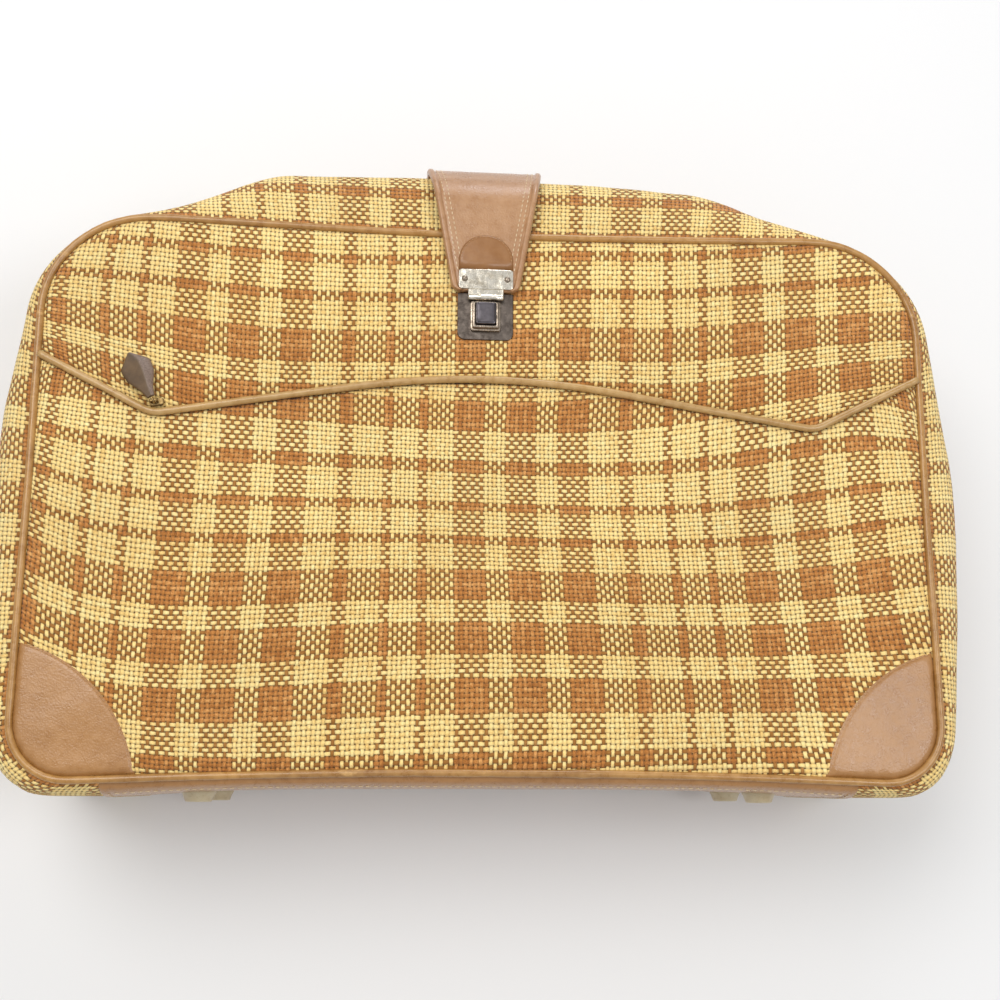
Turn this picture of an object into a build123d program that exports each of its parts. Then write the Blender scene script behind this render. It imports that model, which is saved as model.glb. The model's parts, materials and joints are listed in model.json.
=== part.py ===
from build123d import *
import os
from math import atan2, degrees

# Soft-sided overnight case, lying on its back. Millimetres, +Z out of the front panel,
# +Y towards the handle edge, +X to the right, origin in the middle of the back panel's face.

# Front and back panels, measured to the outside of the piping
panel_height = 260.0
panel_width_low = 408.0
panel_width_middle = 410.0
panel_width_high = 415.0
panel_crown = 1.5
least_radius = 6.0
panel_middle_y = -5.0
corner_radius_low = 27.0
corner_radius_high = 49.0
side_bow_radius = 380.0
shoulder_radius = 60.0
case_depth = 116.0

# How far the gusset bulges past the piping at mid depth
ridge_rise = 33.0
ridge_flat = 222.0
shoulder_drop = 20.0
side_bulge_high = 5.0
side_bulge_middle = 21.0
side_bulge_low = 8.0
base_drop = 1.0
gusset_wall = 2.5
seam_allowance = 8.0
# Depth behind the panel's face, and the share of the bulge reached there
shoulder_profile = [(3.5, 0.06), (4.7, 0.40), (8.0, 0.72), (14.0, 0.93), (24.0, 1.0)]

# Sheets, boards and piping
piping_diameter = 3.5
piping_sides = 12
flange_width = 5.5
flange_thickness = 0.8
fabric_thickness = 1.8
board_thickness = 2.3
board_margin = 0.5
lining_thickness = 0.8
back_pad_margin = 66.0
back_pad_slope = 12.0
patch_width = 52.0
patch_height = 56.5
patch_belly = 11.5
patch_thickness = 0.9

# Main zip
zip_height = 68.0
zip_end_y = -70.0
zip_gap = 0.8
tape_width = 9.0
tape_thickness = 1.2
tape_sink = 0.6
teeth_width = 1.4
teeth_thickness = 1.8
fold_gap = 0.5

# Front pocket line, measured up from the bottom edge of the panel
pocket_end_height = 190.5
pocket_low_height = 162.2
pocket_low_x = 152.0
pocket_apex_height = 187.4
pocket_low_radius = 14.0
pocket_apex_radius = 380.0
pocket_piping_diameter = 3.4
pocket_slot = 4.4
pocket_overrun = 30.0
pocket_zip_thickness = 0.6

# Base and feet
base_length = 328.0
base_panel_thickness = 2.2
base_edge_gap = 0.5
base_roll_diameter = 3.2
base_board_thickness = 3.0
base_board_length = 350.0
base_board_inset = 8.0
foot_diameter = 15.0
foot_tip_diameter = 12.0
foot_height = 4.2
foot_round = 1.0
foot_spacing = 252.0
foot_depth_front = 29.0
foot_depth_rear = 88.5
foot_rivet_diameter = 4.0
foot_rivet_head = 8.0
rivet_head_thickness = 1.2
rivet_clearance = 0.1

# Strap, which lies a little left of the middle with the lock
lock_line_x = -2.5
strap_width = 56.0
strap_tip_width = 31.6
strap_tip_round = 3.0
strap_thickness = 3.2
strap_clearance = 0.4
strap_ridge_clearance = 2.4
strap_tip_y = 94.8
strap_bend_y = 148.0
strap_bend_drop = 17.0
strap_pivot_height = 52.0
strap_bend_radius = 18.0
strap_edge_width = 3.8
strap_edge_rise = 0.6
strap_end_gap = 1.5
inset_width = 25.5
inset_length = 17.5
inset_thickness = 0.7
anchor_length = 15.0
anchor_thickness = 2.0
anchor_rivet_rise = 1.4

# Hasp and lock
hasp_width = 25.5
hasp_length = 9.8
hasp_top_y = 105.0
hasp_round = 1.0
hasp_thickness = 0.9
hasp_neck_width = 16.4
hasp_lip_diameter = 2.8
hasp_lip_y = 91.5
tongue_width = 8.0
tongue_thickness = 1.1
tongue_clearance = 0.4
lock_plate_width = 26.0
lock_plate_length = 23.0
lock_plate_thickness = 1.1
lock_plate_radius = 3.5
lock_plate_bottom_y = 71.5
lock_case_width = 14.0
lock_case_length = 14.4
lock_case_height = 3.6
lock_case_bottom_y = 75.3
lock_case_round = 1.2
lock_case_chamfer = 0.6
button_width = 9.0
button_length = 10.5
button_height = 3.4
button_wall = 0.9
button_round = 0.8
button_chamfer = 0.5
button_travel = 1.5
button_clearance = 0.3
spring_width = 4.0
spring_thickness = 0.3
spring_margin = 0.4
spring_slack = 0.05
spring_bend = 1.0
spring_offset = 1.5
small_rivet_diameter = 2.8
small_rivet_rise = 0.9

# Handle
handle_half_span = 66.0
handle_pivot_height = 38.0
handle_drop = 27.0
handle_grip_width = 13.0
handle_grip_thickness = 9.0
handle_grip_round = 3.4
handle_bend_radius = 15.0
handle_eye_diameter = 8.0
handle_eye_width = 10.0
handle_pin_diameter = 3.0
handle_pin_clearance = 0.35
handle_eye_clearance = 0.5
handle_rivet_diameter = 3.4
handle_rivet_rise = 1.0
chape_length = 26.0
chape_width = 20.0
chape_thickness = 1.2
chape_rivet_margin = 3.0
bracket_plate_thickness = 1.0
ear_thickness = 1.6
ear_gap = 0.4
ear_radius = 3.0
top_board_length = 190.0
top_board_thickness = 3.0
top_board_depth = 24.0

# Sliders and pulls
slider_length = 11.0
slider_width = 7.0
slider_height = 2.6
slider_clearance = 1.1
slider_round = 2.0
slider_bridge_half = 2.6
slider_bridge_post = 1.4
slider_bridge_rise = 2.6
slider_bridge_wire = 0.8
slider_bridge_width = 3.2
slider_bridge_sink = 0.5
slider_bail_diameter = 1.4
main_slider_x = -92.0
main_pull_length = 24.0
main_pull_width = 6.5
main_pull_thickness = 1.4
main_pull_clearance = 0.2
main_pull_arm = 6.0
main_pull_tab_start = 5.0
main_pull_round = 1.5
pocket_slider_length = 6.4
pocket_slider_width = 3.4
pocket_slider_height = 1.8
pocket_slider_round = 1.3
pocket_slider_clearance = 0.3
pocket_slider_gap = 1.0
pocket_slider_start = 2.9
pocket_bail_height = 2.75
pocket_bail_length = 3.8
pocket_bail_shift = -1.1
pocket_bail_depth = 1.2
pocket_bail_wire = 0.6
pocket_ring_radius = 1.8
pocket_ring_wire = 0.8
pocket_ring_offset = 0.4
pocket_pull_length = 22.8
pocket_pull_width = 14.0
pocket_pull_neck = 7.2
pocket_pull_point = 5.5
pocket_pull_ridge = 2.4
pocket_pull_thickness = 1.3
pocket_pull_angle = 119.0
pocket_pull_droop = 7.0

# Levels worked out from the sizes above
half_height = panel_height / 2
bead_centre = case_depth - piping_diameter / 2
flange_bottom = case_depth - piping_diameter
panel_bottom = flange_bottom + flange_thickness
panel_top = panel_bottom + fabric_thickness
panel_inset = piping_diameter
hinge_y = -half_height + piping_diameter / 2
hinge_z = bead_centre
ridge_y = half_height + ridge_rise
base_y = -half_height - base_drop
base_face_y = base_y - base_panel_thickness
pivot_y = (ridge_y + chape_thickness + bracket_plate_thickness + handle_eye_clearance
           + handle_eye_diameter / 2)
strap_ridge_y = ridge_y + strap_ridge_clearance + strap_thickness / 2
strap_face_z = case_depth + strap_clearance + strap_thickness / 2
far = 600.0


# The case's outline: corner points, then the radius of each corner
def outline_corners(share):
    low = panel_width_low / 2 + share * side_bulge_low
    middle = panel_width_middle / 2 + share * side_bulge_middle
    high = panel_width_high / 2 + share * side_bulge_high
    top = half_height - panel_crown - share * shoulder_drop
    flat = ridge_flat / 2
    ridge = half_height + share * ridge_rise
    bottom = -half_height - (base_drop if share else 0)
    return [(-low, bottom), (low, bottom), (middle, panel_middle_y), (high, top), (flat, ridge),
            (-flat, ridge), (-high, top), (-middle, panel_middle_y)]


# Each side of the polygon moves in by the same distance, so walls stay even
def moved_in(points, inset):
    lines = []
    for i, (x, y) in enumerate(points):
        nx, ny = points[(i + 1) % len(points)]
        length = ((nx - x) ** 2 + (ny - y) ** 2) ** 0.5
        dx, dy = (nx - x) / length, (ny - y) / length
        lines.append((x - dy * inset, y + dx * inset, dx, dy))
    result = []
    for i, (x, y, dx, dy) in enumerate(lines):
        px, py, qx, qy = lines[i - 1]
        t = ((x - px) * dy - (y - py) * dx) / (qx * dy - qy * dx)
        result.append((px + qx * t, py + qy * t))
    return result


def outline(share, inset=0.0, z=0.0):
    radii = [corner_radius_low, corner_radius_low, side_bow_radius, corner_radius_high, shoulder_radius,
             shoulder_radius, corner_radius_high, side_bow_radius]
    points = [(x, y, z) for x, y in moved_in(outline_corners(share), inset)]
    return FilletPolyline(*points, radius=[max(r - inset, least_radius) for r in radii], close=True)


def plate(share, inset, bottom, top):
    return extrude(make_face(outline(share, inset, bottom)), top - bottom, dir=(0, 0, 1))


def ring(share, outer_inset, inner_inset, bottom, top):
    return plate(share, outer_inset, bottom, top) - plate(share, inner_inset, bottom - 1, top + 1)


def box(x0, x1, y0, y1, z0, z1):
    return Pos((x0 + x1) / 2, (y0 + y1) / 2, (z0 + z1) / 2) * Box(x1 - x0, y1 - y0, z1 - z0)


def mirrored(shape):
    return mirror(shape, Plane.YZ)


# A side profile in Y and Z, drawn at x = 0 and extruded to both sides
def side_slab(points, half_width):
    face = make_face(Polyline(*[(0, y, z) for y, z in points], close=True))
    return extrude(face, half_width, dir=(1, 0, 0), both=True)


# The gusset: a straight band with a lofted shoulder front and back, then it is parted
# at the zip and at the fold
def gusset_solid(inset):
    deep = shoulder_profile[-1][0] + inset
    shoulder = loft([make_face(outline(share, inset, depth + inset)) for depth, share in shoulder_profile],
                    ruled=True)
    front = mirror(shoulder, Plane.XY.offset(case_depth / 2))
    return shoulder + plate(1, inset, deep, case_depth - deep) + front


def gusset_shell():
    mouth = plate(0, seam_allowance, -1, case_depth + 1)
    return gusset_solid(0) - gusset_solid(gusset_wall) - mouth


def lid_zone(gap):
    # Everything in front of the zip plane and of the fold that runs up to the hinge line
    dy, dz = zip_end_y - hinge_y, zip_height - hinge_z
    length = (dy * dy + dz * dz) ** 0.5
    ny, nz = dz / length * gap, -dy / length * gap
    level = zip_height + (zip_gap / 2 if gap == 0 else -zip_gap / 2)
    slope = (hinge_z - level) / (hinge_z - zip_height)
    corner = (hinge_y + dy * slope + ny, level)
    edge = hinge_y + ny
    return side_slab([(edge, hinge_z + nz), corner, (far, level), (far, far), (edge, far)], far)


def zip_slot():
    reach = tape_width + zip_gap / 2
    return box(-far, far, zip_end_y, far, zip_height - reach, zip_height + reach)


def above_zip_end():
    return box(-far, far, zip_end_y, far, 0, case_depth)


def front_gusset():
    return gusset_shell() & lid_zone(0) - zip_slot()


def rear_gusset():
    shell = gusset_shell() - lid_zone(fold_gap) - zip_slot()
    shell -= box(-far, far, -far, hinge_y + fold_gap, flange_bottom - base_edge_gap, far)
    return cut_all(shell, rivet_shanks(rivet_clearance))


def zip_tape(side):
    near = zip_height + side * (zip_gap / 2 + teeth_width)
    away = zip_height + side * (zip_gap / 2 + tape_width)
    band = ring(1, tape_sink, tape_sink + tape_thickness, min(near, away), max(near, away))
    return band & above_zip_end()


def zip_teeth(side):
    near = zip_height + side * zip_gap / 2
    away = zip_height + side * (zip_gap / 2 + teeth_width)
    band = ring(1, tape_sink, tape_sink + teeth_thickness, min(near, away), max(near, away))
    return band & above_zip_end()


# Piping: a round bead with the sewn flange that the panels and gusset hold
def piping(centre, flange_low):
    path = outline(0, piping_diameter / 2, centre)
    profile = Plane(origin=path @ 0, x_dir=(0, 0, 1), z_dir=path % 0) * RegularPolygon(
        piping_diameter / 2, piping_sides)
    bead = sweep(profile, path)
    flange = ring(0, piping_diameter / 2, piping_diameter / 2 + flange_width, flange_low,
                  flange_low + flange_thickness)
    return bead + flange


def front_piping():
    return piping(bead_centre, flange_bottom)


def back_piping():
    return piping(case_depth - bead_centre, piping_diameter - flange_thickness)


# Pocket line across the front panel
def pocket_points(extra=0.0):
    end = pocket_end_height - half_height
    low = pocket_low_height - half_height
    apex = pocket_apex_height - half_height
    edge = panel_width_high / 2 - piping_diameter + extra
    slope = (end - low) / (panel_width_high / 2 - pocket_low_x)
    end_y = low + (edge - pocket_low_x) * slope
    return [(-edge, end_y), (-pocket_low_x, low), (0, apex), (pocket_low_x, low), (edge, end_y)]


def pocket_line(z, extra=0.0):
    points = [(x, y, z) for x, y in pocket_points(extra)]
    return FilletPolyline(*points, radius=[pocket_low_radius, pocket_apex_radius, pocket_low_radius])


# The strip of the pocket line, wide enough for the zip, or everything below it
def pocket_strip(width, bottom, top):
    return extrude(trace(pocket_line(bottom, pocket_overrun), width), top - bottom, dir=(0, 0, 1))


def below_pocket(bottom, top):
    line = pocket_line(bottom, pocket_overrun)
    start, end = line @ 0, line @ 1
    lower = Polyline((end.X, end.Y, bottom), (end.X, -far, bottom), (start.X, -far, bottom),
                     (start.X, start.Y, bottom))
    return extrude(make_face([line, lower]), top - bottom, dir=(0, 0, 1))


def front_sheet():
    return plate(0, panel_inset, panel_bottom, panel_top)


def front_panel():
    return front_sheet() - below_pocket(panel_bottom - 1, panel_top + 1) - pocket_strip(
        pocket_slot, panel_bottom - 1, panel_top + 1)


def pocket_panel():
    lower = front_sheet() & below_pocket(panel_bottom - 1, panel_top + 1)
    return lower - pocket_strip(pocket_slot, panel_bottom - 1, panel_top + 1)


def pocket_zip():
    strip = pocket_strip(pocket_slot, panel_bottom, panel_bottom + pocket_zip_thickness)
    return strip & plate(0, panel_inset, panel_bottom - 1, panel_top)


def pocket_piping():
    centre = panel_bottom + pocket_zip_thickness + pocket_piping_diameter / 2
    path = pocket_line(centre, -pocket_piping_diameter / 2)
    start, lean = path @ 0, path % 0
    profile = Plane(origin=start, x_dir=(0, 0, 1), z_dir=lean) * RegularPolygon(
        pocket_piping_diameter / 2, piping_sides)
    return sweep(profile, path)


def front_board():
    return plate(0, seam_allowance + board_margin, panel_bottom - board_thickness, panel_bottom)


def front_lining():
    top = panel_bottom - board_thickness
    return plate(0, seam_allowance + board_margin, top - lining_thickness, top)


# Corner patches: the panel's corner, cut off by an arc that bellies out
def corner_patch(bottom, top):
    corner_x = panel_width_low / 2 - panel_inset
    corner_y = -half_height + panel_inset
    belly = patch_belly / 2 ** 0.5
    middle = (corner_x - patch_width / 2 - belly, corner_y + patch_height / 2 + belly, bottom)
    start = (corner_x - patch_width, corner_y - 1, bottom)
    end = (corner_x + panel_inset, corner_y + patch_height, bottom)
    curve = ThreePointArc(start, middle, end)
    edge = Polyline(end, (corner_x + far / 10, corner_y + patch_height, bottom),
                    (corner_x + far / 10, corner_y - far / 10, bottom),
                    (corner_x - patch_width, corner_y - far / 10, bottom), start)
    cutter = extrude(make_face([curve, edge]), top - bottom, dir=(0, 0, 1))
    right = cutter & plate(0, panel_inset, bottom, top)
    return Compound(children=[right.solid(), mirrored(right).solid()])


def front_corner_patches():
    return corner_patch(panel_top, panel_top + patch_thickness)


def back_corner_patches():
    level = case_depth - panel_top
    return corner_patch(level - patch_thickness, level)


# The back panel is pressed flat where the case lies on it
def back_panel():
    level = case_depth - panel_top
    sheet = plate(0, panel_inset, level, level + fabric_thickness)
    pad = loft([make_face(outline(0, back_pad_margin, 0)),
                make_face(outline(0, back_pad_margin - back_pad_slope, level))])
    return sheet + pad


def back_board():
    level = case_depth - panel_bottom
    return plate(0, seam_allowance + board_margin, level, level + board_thickness)


def back_lining():
    level = case_depth - panel_bottom + board_thickness
    return plate(0, seam_allowance + board_margin, level, level + lining_thickness)


# Base: a stiff vinyl strip with rolled edges, a board inside and four riveted feet
def foot_places():
    for x in (-foot_spacing / 2, foot_spacing / 2):
        for depth in (foot_depth_front, foot_depth_rear):
            yield x, case_depth - depth


# A turned piece standing on the base, at distance y, growing downwards
def base_turned(x, z, y, radius, length):
    return Pos(x, y - length / 2, z) * Rot(90, 0, 0) * Cylinder(radius, length)


def base_panel():
    top = flange_bottom - base_edge_gap
    low = case_depth - top
    half = base_length / 2
    strip = box(-half, half, base_face_y, base_y, low, top)
    rolls = []
    for z in (low + base_roll_diameter / 2, top - base_roll_diameter / 2):
        roll = Pos(0, base_face_y, z) * Rot(0, 90, 0) * Cylinder(base_roll_diameter / 2, base_length)
        rolls.append(roll & box(-half, half, base_face_y - far, base_y, 0, case_depth))
    return cut_all(strip + rolls[0] + rolls[1], rivet_shanks(rivet_clearance))


def base_board():
    inner = base_y + gusset_wall
    half = base_board_length / 2
    board = box(-half, half, inner, inner + base_board_thickness, base_board_inset,
                case_depth - base_board_inset)
    return cut_all(board, rivet_shanks(rivet_clearance))


def cut_all(shape, tools):
    for tool in tools:
        shape -= tool
    return shape


def rivet_shanks(extra=0.0):
    top = base_y + gusset_wall + base_board_thickness + 1
    length = top - base_face_y + foot_height / 2
    return [base_turned(x, z, top, foot_rivet_diameter / 2 + extra, length) for x, z in foot_places()]


def feet():
    result = []
    for x, z in foot_places():
        cone = Cone(foot_diameter / 2, foot_tip_diameter / 2, foot_height)
        cone = chamfer(cone.edges().sort_by(Axis.Z)[-1], foot_round)
        foot = Pos(x, base_face_y - foot_height / 2, z) * Rot(90, 0, 0) * cone
        result.append(foot)
    result = [cut_all(foot, rivet_shanks(rivet_clearance)) for foot in result]
    return Compound(children=[foot.solid() for foot in result])


def foot_rivets():
    top = base_y + gusset_wall + base_board_thickness
    result = []
    for x, z in foot_places():
        length = top - base_face_y + foot_height / 2
        shank = base_turned(x, z, top, foot_rivet_diameter / 2, length)
        head = base_turned(x, z, top + rivet_head_thickness, foot_rivet_head / 2, rivet_head_thickness)
        result.append((shank + head).solid())
    return Compound(children=result)


# Stiffener inside the ridge, behind the handle
def top_board():
    top = ridge_y - gusset_wall
    half = top_board_length / 2
    return box(-half, half, top - top_board_thickness, top, handle_pivot_height - top_board_depth / 2,
               handle_pivot_height + top_board_depth / 2)


# Strap: a side profile cut to the tapering shape that it has from the front
def strap_planform(narrower=0.0):
    tip, root = strap_tip_width / 2 - narrower, strap_width / 2 - narrower
    shape = make_face(Polyline((-tip, strap_tip_y), (tip, strap_tip_y), (root, ridge_y), (root, far),
                               (-root, far), (-root, ridge_y), close=True))
    shape = fillet(shape.vertices().sort_by(Axis.Y)[:2], strap_tip_round)
    return extrude(shape, far, dir=(0, 0, 1))


def strap():
    half = strap_thickness / 2
    slab = thick_path(-half, half, strap_width / 2)
    middle = thick_path(half - strap_edge_rise, half + 1, strap_width / 2 - strap_edge_width)
    slab = slab & strap_planform()
    seat_half = hasp_width / 2 + rivet_clearance
    seat = box(-seat_half, seat_half, strap_tip_y - 1, hasp_top_y, strap_top(), far)
    return (slab - (middle & strap_planform(strap_edge_width)) - seat).solid()


# The strip between two offsets of the strap's middle line, outwards positive
def thick_path(inner, outer, half_width):
    return side_slab_curve(strap_line(inner), strap_line(outer), half_width)


def strap_line(offset):
    drop = strap_bend_drop
    run = strap_ridge_y - strap_bend_y
    slant = (run * run + drop * drop) ** 0.5
    ux, uz = run / slant, -drop / slant
    y_bend = strap_bend_y + offset * (1 - ux) / -uz
    z_low = strap_face_z - drop + offset * (1 + uz) / ux
    radius = strap_bend_radius + offset
    return FilletPolyline((0, strap_tip_y, strap_face_z + offset), (0, y_bend, strap_face_z + offset),
                          (0, strap_ridge_y + offset, z_low),
                          (0, strap_ridge_y + offset, strap_pivot_height + strap_end_gap), radius=radius)


def side_slab_curve(first, second, half_width):
    face = make_face([first, Line(first @ 1, second @ 1), second, Line(second @ 0, first @ 0)])
    return extrude(face, half_width, dir=(1, 0, 0), both=True)


def strap_top():
    return strap_face_z + strap_thickness / 2 - strap_edge_rise


def strap_inset():
    radius = inset_width / 2
    bottom = hasp_top_y
    centre = bottom + inset_length - radius
    shape = Pos(0, (bottom + centre) / 2, 0) * Rectangle(inset_width, centre - bottom)
    shape += Pos(0, centre, 0) * Circle(radius) & Pos(0, centre + radius, 0) * Rectangle(
        2 * inset_width, 2 * radius)
    return Pos(0, 0, strap_top()) * extrude(shape, inset_thickness)


# Rear anchor: a stitched tab that the strap's end is folded from
def strap_anchor():
    top = strap_pivot_height - 1
    half = strap_width / 2
    return box(-half, half, ridge_y, ridge_y + anchor_thickness, top - anchor_length, top)


# A rivet head: a low cone with its rim taken off
def dome(x, y, z, diameter, rise, turn=(0, 0, 0)):
    low = Cone(diameter / 2, diameter * 0.4, rise * 0.6)
    high = Pos(0, 0, rise * 0.5) * Cone(diameter * 0.4, diameter * 0.2, rise * 0.4)
    return (Pos(x, y, z) * Rot(*turn) * Pos(0, 0, rise * 0.3) * (low + high)).solid()


def anchor_rivets():
    z = strap_pivot_height - 1 - anchor_length / 2
    x = strap_width / 3
    return Compound(children=[dome(side * x, ridge_y + anchor_thickness, z, foot_rivet_head,
                                   anchor_rivet_rise, (-90, 0, 0)) for side in (-1, 1)])


# Hasp: plate, neck, rolled lip and a catch under it that stands behind the lock
def hasp():
    low = hasp_top_y - hasp_length
    level = strap_top()
    plate_part = extrude(Pos(0, low + hasp_length / 2, level) * RectangleRounded(
        hasp_width, hasp_length, hasp_round), hasp_thickness)
    neck = box(-hasp_neck_width / 2, hasp_neck_width / 2, hasp_lip_y, low + 1, level, level + hasp_thickness)
    lip_z = level + hasp_thickness - hasp_lip_diameter / 2
    lip = Pos(0, hasp_lip_y, lip_z) * Rot(0, 90, 0) * Cylinder(hasp_lip_diameter / 2, hasp_neck_width)
    near = hasp_lip_y - hasp_lip_diameter / 2
    tongue = box(-tongue_width / 2, tongue_width / 2, near, near + tongue_thickness,
                 lock_face() + tongue_clearance, lip_z)
    neck -= box(-far, far, strap_tip_y - 0.1, low, 0, level)
    return (plate_part + neck + lip + tongue - strap_tip_room()).solid()


def strap_tip_room():
    return box(-strap_width, strap_width, strap_tip_y, far, 0, strap_top())


def hasp_rivets():
    y = hasp_top_y - hasp_length / 2
    x = hasp_width / 2 - small_rivet_diameter
    z = strap_top() + hasp_thickness
    return Compound(children=[dome(side * x, y, z, small_rivet_diameter, small_rivet_rise)
                              for side in (-1, 1)])


def lock_plate():
    outer = Pos(0, lock_plate_bottom_y + lock_plate_length / 2, panel_top) * Rectangle(
        lock_plate_width, lock_plate_length)
    solid = extrude(outer, lock_plate_thickness)
    low = solid.edges().filter_by(Axis.Z).sort_by(Axis.Y)[:2]
    return fillet(low, lock_plate_radius).solid()


def lock_face():
    return panel_top + lock_plate_thickness


def lock_case():
    y0 = lock_case_bottom_y
    y1 = y0 + lock_case_length
    z0 = lock_face()
    z1 = z0 + lock_case_height
    case = extrude(Pos(0, (y0 + y1) / 2, z0) * RectangleRounded(
        lock_case_width, lock_case_length, lock_case_round), lock_case_height)
    case = chamfer(case.faces().sort_by(Axis.Z)[-1].edges(), lock_case_chamfer)
    room = button_clearance
    wall = (lock_case_width - button_width) / 2
    case -= box(-button_width / 2 - room, button_width / 2 + room, y0 + wall - room,
                y0 + wall + button_length + room, z0 - 1, z1 + 1)
    return case.solid()


# Push button, hollow underneath for its spring
def lock_button():
    wall = (lock_case_width - button_width) / 2
    y = lock_case_bottom_y + wall + button_length / 2
    bottom = lock_face() + button_travel + button_clearance
    body = extrude(Pos(0, y, bottom) * RectangleRounded(
        button_width, button_length, button_round), button_height)
    body = chamfer(body.faces().sort_by(Axis.Z)[-1].edges(), button_chamfer)
    hollow = box(-button_width / 2 + button_wall, button_width / 2 - button_wall,
                 y - button_length / 2 + button_wall, y + button_length / 2 - button_wall,
                 bottom - 1, bottom + button_height - button_wall)
    return (body - hollow).solid()


# A bent leaf between the plate and the button's roof
def lock_spring():
    wall = (lock_case_width - button_width) / 2
    y = lock_case_bottom_y + wall + button_length / 2
    bottom = lock_face()
    top = bottom + button_travel + button_clearance + button_height - button_wall - spring_slack
    half = button_length / 2 - button_wall - spring_margin
    leaf = spring_thickness
    bend = spring_bend
    turn = y + half - bend - spring_offset / 3
    points = [(y - half, bottom), (y + half - bend, bottom), (y + half, bottom + bend),
              (y - half + 2 * bend, top - leaf), (y + half, top - leaf), (y + half, top), (y - half, top),
              (y - half, top - leaf), (turn, bottom + bend), (turn, bottom + leaf),
              (y - half, bottom + leaf)]
    return side_slab(points, spring_width / 2).solid()


# Handle: a padded grip bent at both ends into eyes that turn on the brackets' pins
def handle_grip():
    low = handle_pivot_height - handle_drop
    x = handle_half_span
    top = handle_pivot_height - handle_eye_diameter / 2 + 1
    path = FilletPolyline((-x, pivot_y, top), (-x, pivot_y, low), (x, pivot_y, low), (x, pivot_y, top),
                          radius=handle_bend_radius)
    profile = Plane(origin=path @ 0, x_dir=(0, 1, 0), z_dir=(0, 0, -1)) * chamfer(
        Rectangle(handle_grip_thickness, handle_grip_width).vertices(), handle_grip_round)
    grip = sweep(profile, path)
    for side in (-1, 1):
        eye = Pos(side * x, pivot_y, handle_pivot_height) * Rot(0, 90, 0) * Cylinder(
            handle_eye_diameter / 2, handle_eye_width)
        grip += eye
    bore = handle_pin_diameter / 2 + handle_pin_clearance
    for side in (-1, 1):
        grip -= Pos(side * x, pivot_y, handle_pivot_height) * Rot(0, 90, 0) * Cylinder(
            bore, 2 * handle_eye_width)
    return grip.solid()


def handle_chapes():
    deep, half = chape_width / 2, chape_length / 2
    both = [box(x - half, x + half, ridge_y, ridge_y + chape_thickness, handle_pivot_height - deep,
                handle_pivot_height + deep) for x in (-handle_half_span, handle_half_span)]
    return Compound(children=[b.solid() for b in both])


def handle_brackets():
    result = []
    z = handle_pivot_height
    floor = ridge_y + chape_thickness
    inside = handle_eye_width / 2 + ear_gap
    for side in (-1, 1):
        x = side * handle_half_span
        half = chape_length / 2 - 1
        base = box(x - half, x + half, floor, floor + bracket_plate_thickness, z - chape_width / 4,
                   z + chape_width / 4)
        for way in (-1, 1):
            ear_x = x + way * (inside + ear_thickness / 2)
            ear = box(ear_x - ear_thickness / 2, ear_x + ear_thickness / 2, floor, pivot_y, z - ear_radius,
                      z + ear_radius)
            ear += Pos(ear_x, pivot_y, z) * Rot(0, 90, 0) * Cylinder(ear_radius, ear_thickness)
            base += ear
        pin = Cylinder(handle_pin_diameter / 2, 2 * inside + ear_thickness)
        base += Pos(x, pivot_y, z) * Rot(0, 90, 0) * pin
        result.append(base.solid())
    return Compound(children=result)


def handle_rivets():
    floor = ridge_y + chape_thickness + bracket_plate_thickness
    reach = chape_length / 2 - chape_rivet_margin
    return Compound(children=[dome(side * handle_half_span + way * reach, floor, handle_pivot_height,
                                   handle_rivet_diameter, handle_rivet_rise, (-90, 0, 0))
                              for side in (-1, 1) for way in (-1, 1)])


# Main zip slider on the flat of the ridge, with its pull lying along it
def main_slider_axis_y():
    return ridge_y - tape_sink + slider_clearance + slider_height


def main_slider():
    bottom = ridge_y - tape_sink + slider_clearance
    body = Pos(main_slider_x, bottom + slider_height / 2, zip_height) * Rot(90, 0, 0) * extrude(
        RectangleRounded(slider_length, slider_width, slider_round), slider_height / 2, both=True)
    floor = bottom + slider_height - slider_bridge_sink
    roof = bottom + slider_height + slider_bridge_rise
    half, deep = slider_bridge_half, slider_bridge_width / 2
    for x0, x1 in ((-half, slider_bridge_post - half), (half - slider_bridge_post, half)):
        body += box(main_slider_x + x0, main_slider_x + x1, floor, roof, zip_height - deep, zip_height + deep)
    body += box(main_slider_x - half, main_slider_x + half, roof - slider_bridge_wire, roof,
                zip_height - deep, zip_height + deep)
    return body.solid()


def main_pull():
    bottom = main_slider_axis_y() + main_pull_clearance
    wire = slider_bail_diameter
    pull = Pos(main_slider_x, bottom + wire / 2, zip_height) * Cylinder(wire / 2, main_pull_width)
    half = main_pull_width / 2
    for side in (-1, 1):
        z = zip_height + side * (half - wire / 2)
        pull += box(main_slider_x - main_pull_arm, main_slider_x, bottom, bottom + wire, z - wire / 2,
                    z + wire / 2)
    tab = box(main_slider_x - main_pull_length, main_slider_x - main_pull_tab_start, bottom,
              bottom + main_pull_thickness, zip_height - half, zip_height + half)
    return (pull + fillet(tab.edges().filter_by(Axis.Y), main_pull_round)).solid()


# Pocket slider, set on the straight run of the pocket line from its low left corner
def pocket_run_angle():
    points = pocket_points()
    return degrees(atan2(points[2][1] - points[1][1], points[2][0] - points[1][0]))


def pocket_slider_place():
    x, y = pocket_points()[1]
    above = pocket_piping_diameter / 2 + pocket_slider_gap + pocket_slider_width / 2
    return Pos(x, y, panel_top + pocket_slider_clearance) * Rot(0, 0, pocket_run_angle()) * Pos(
        pocket_slider_start, above, 0)


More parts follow.
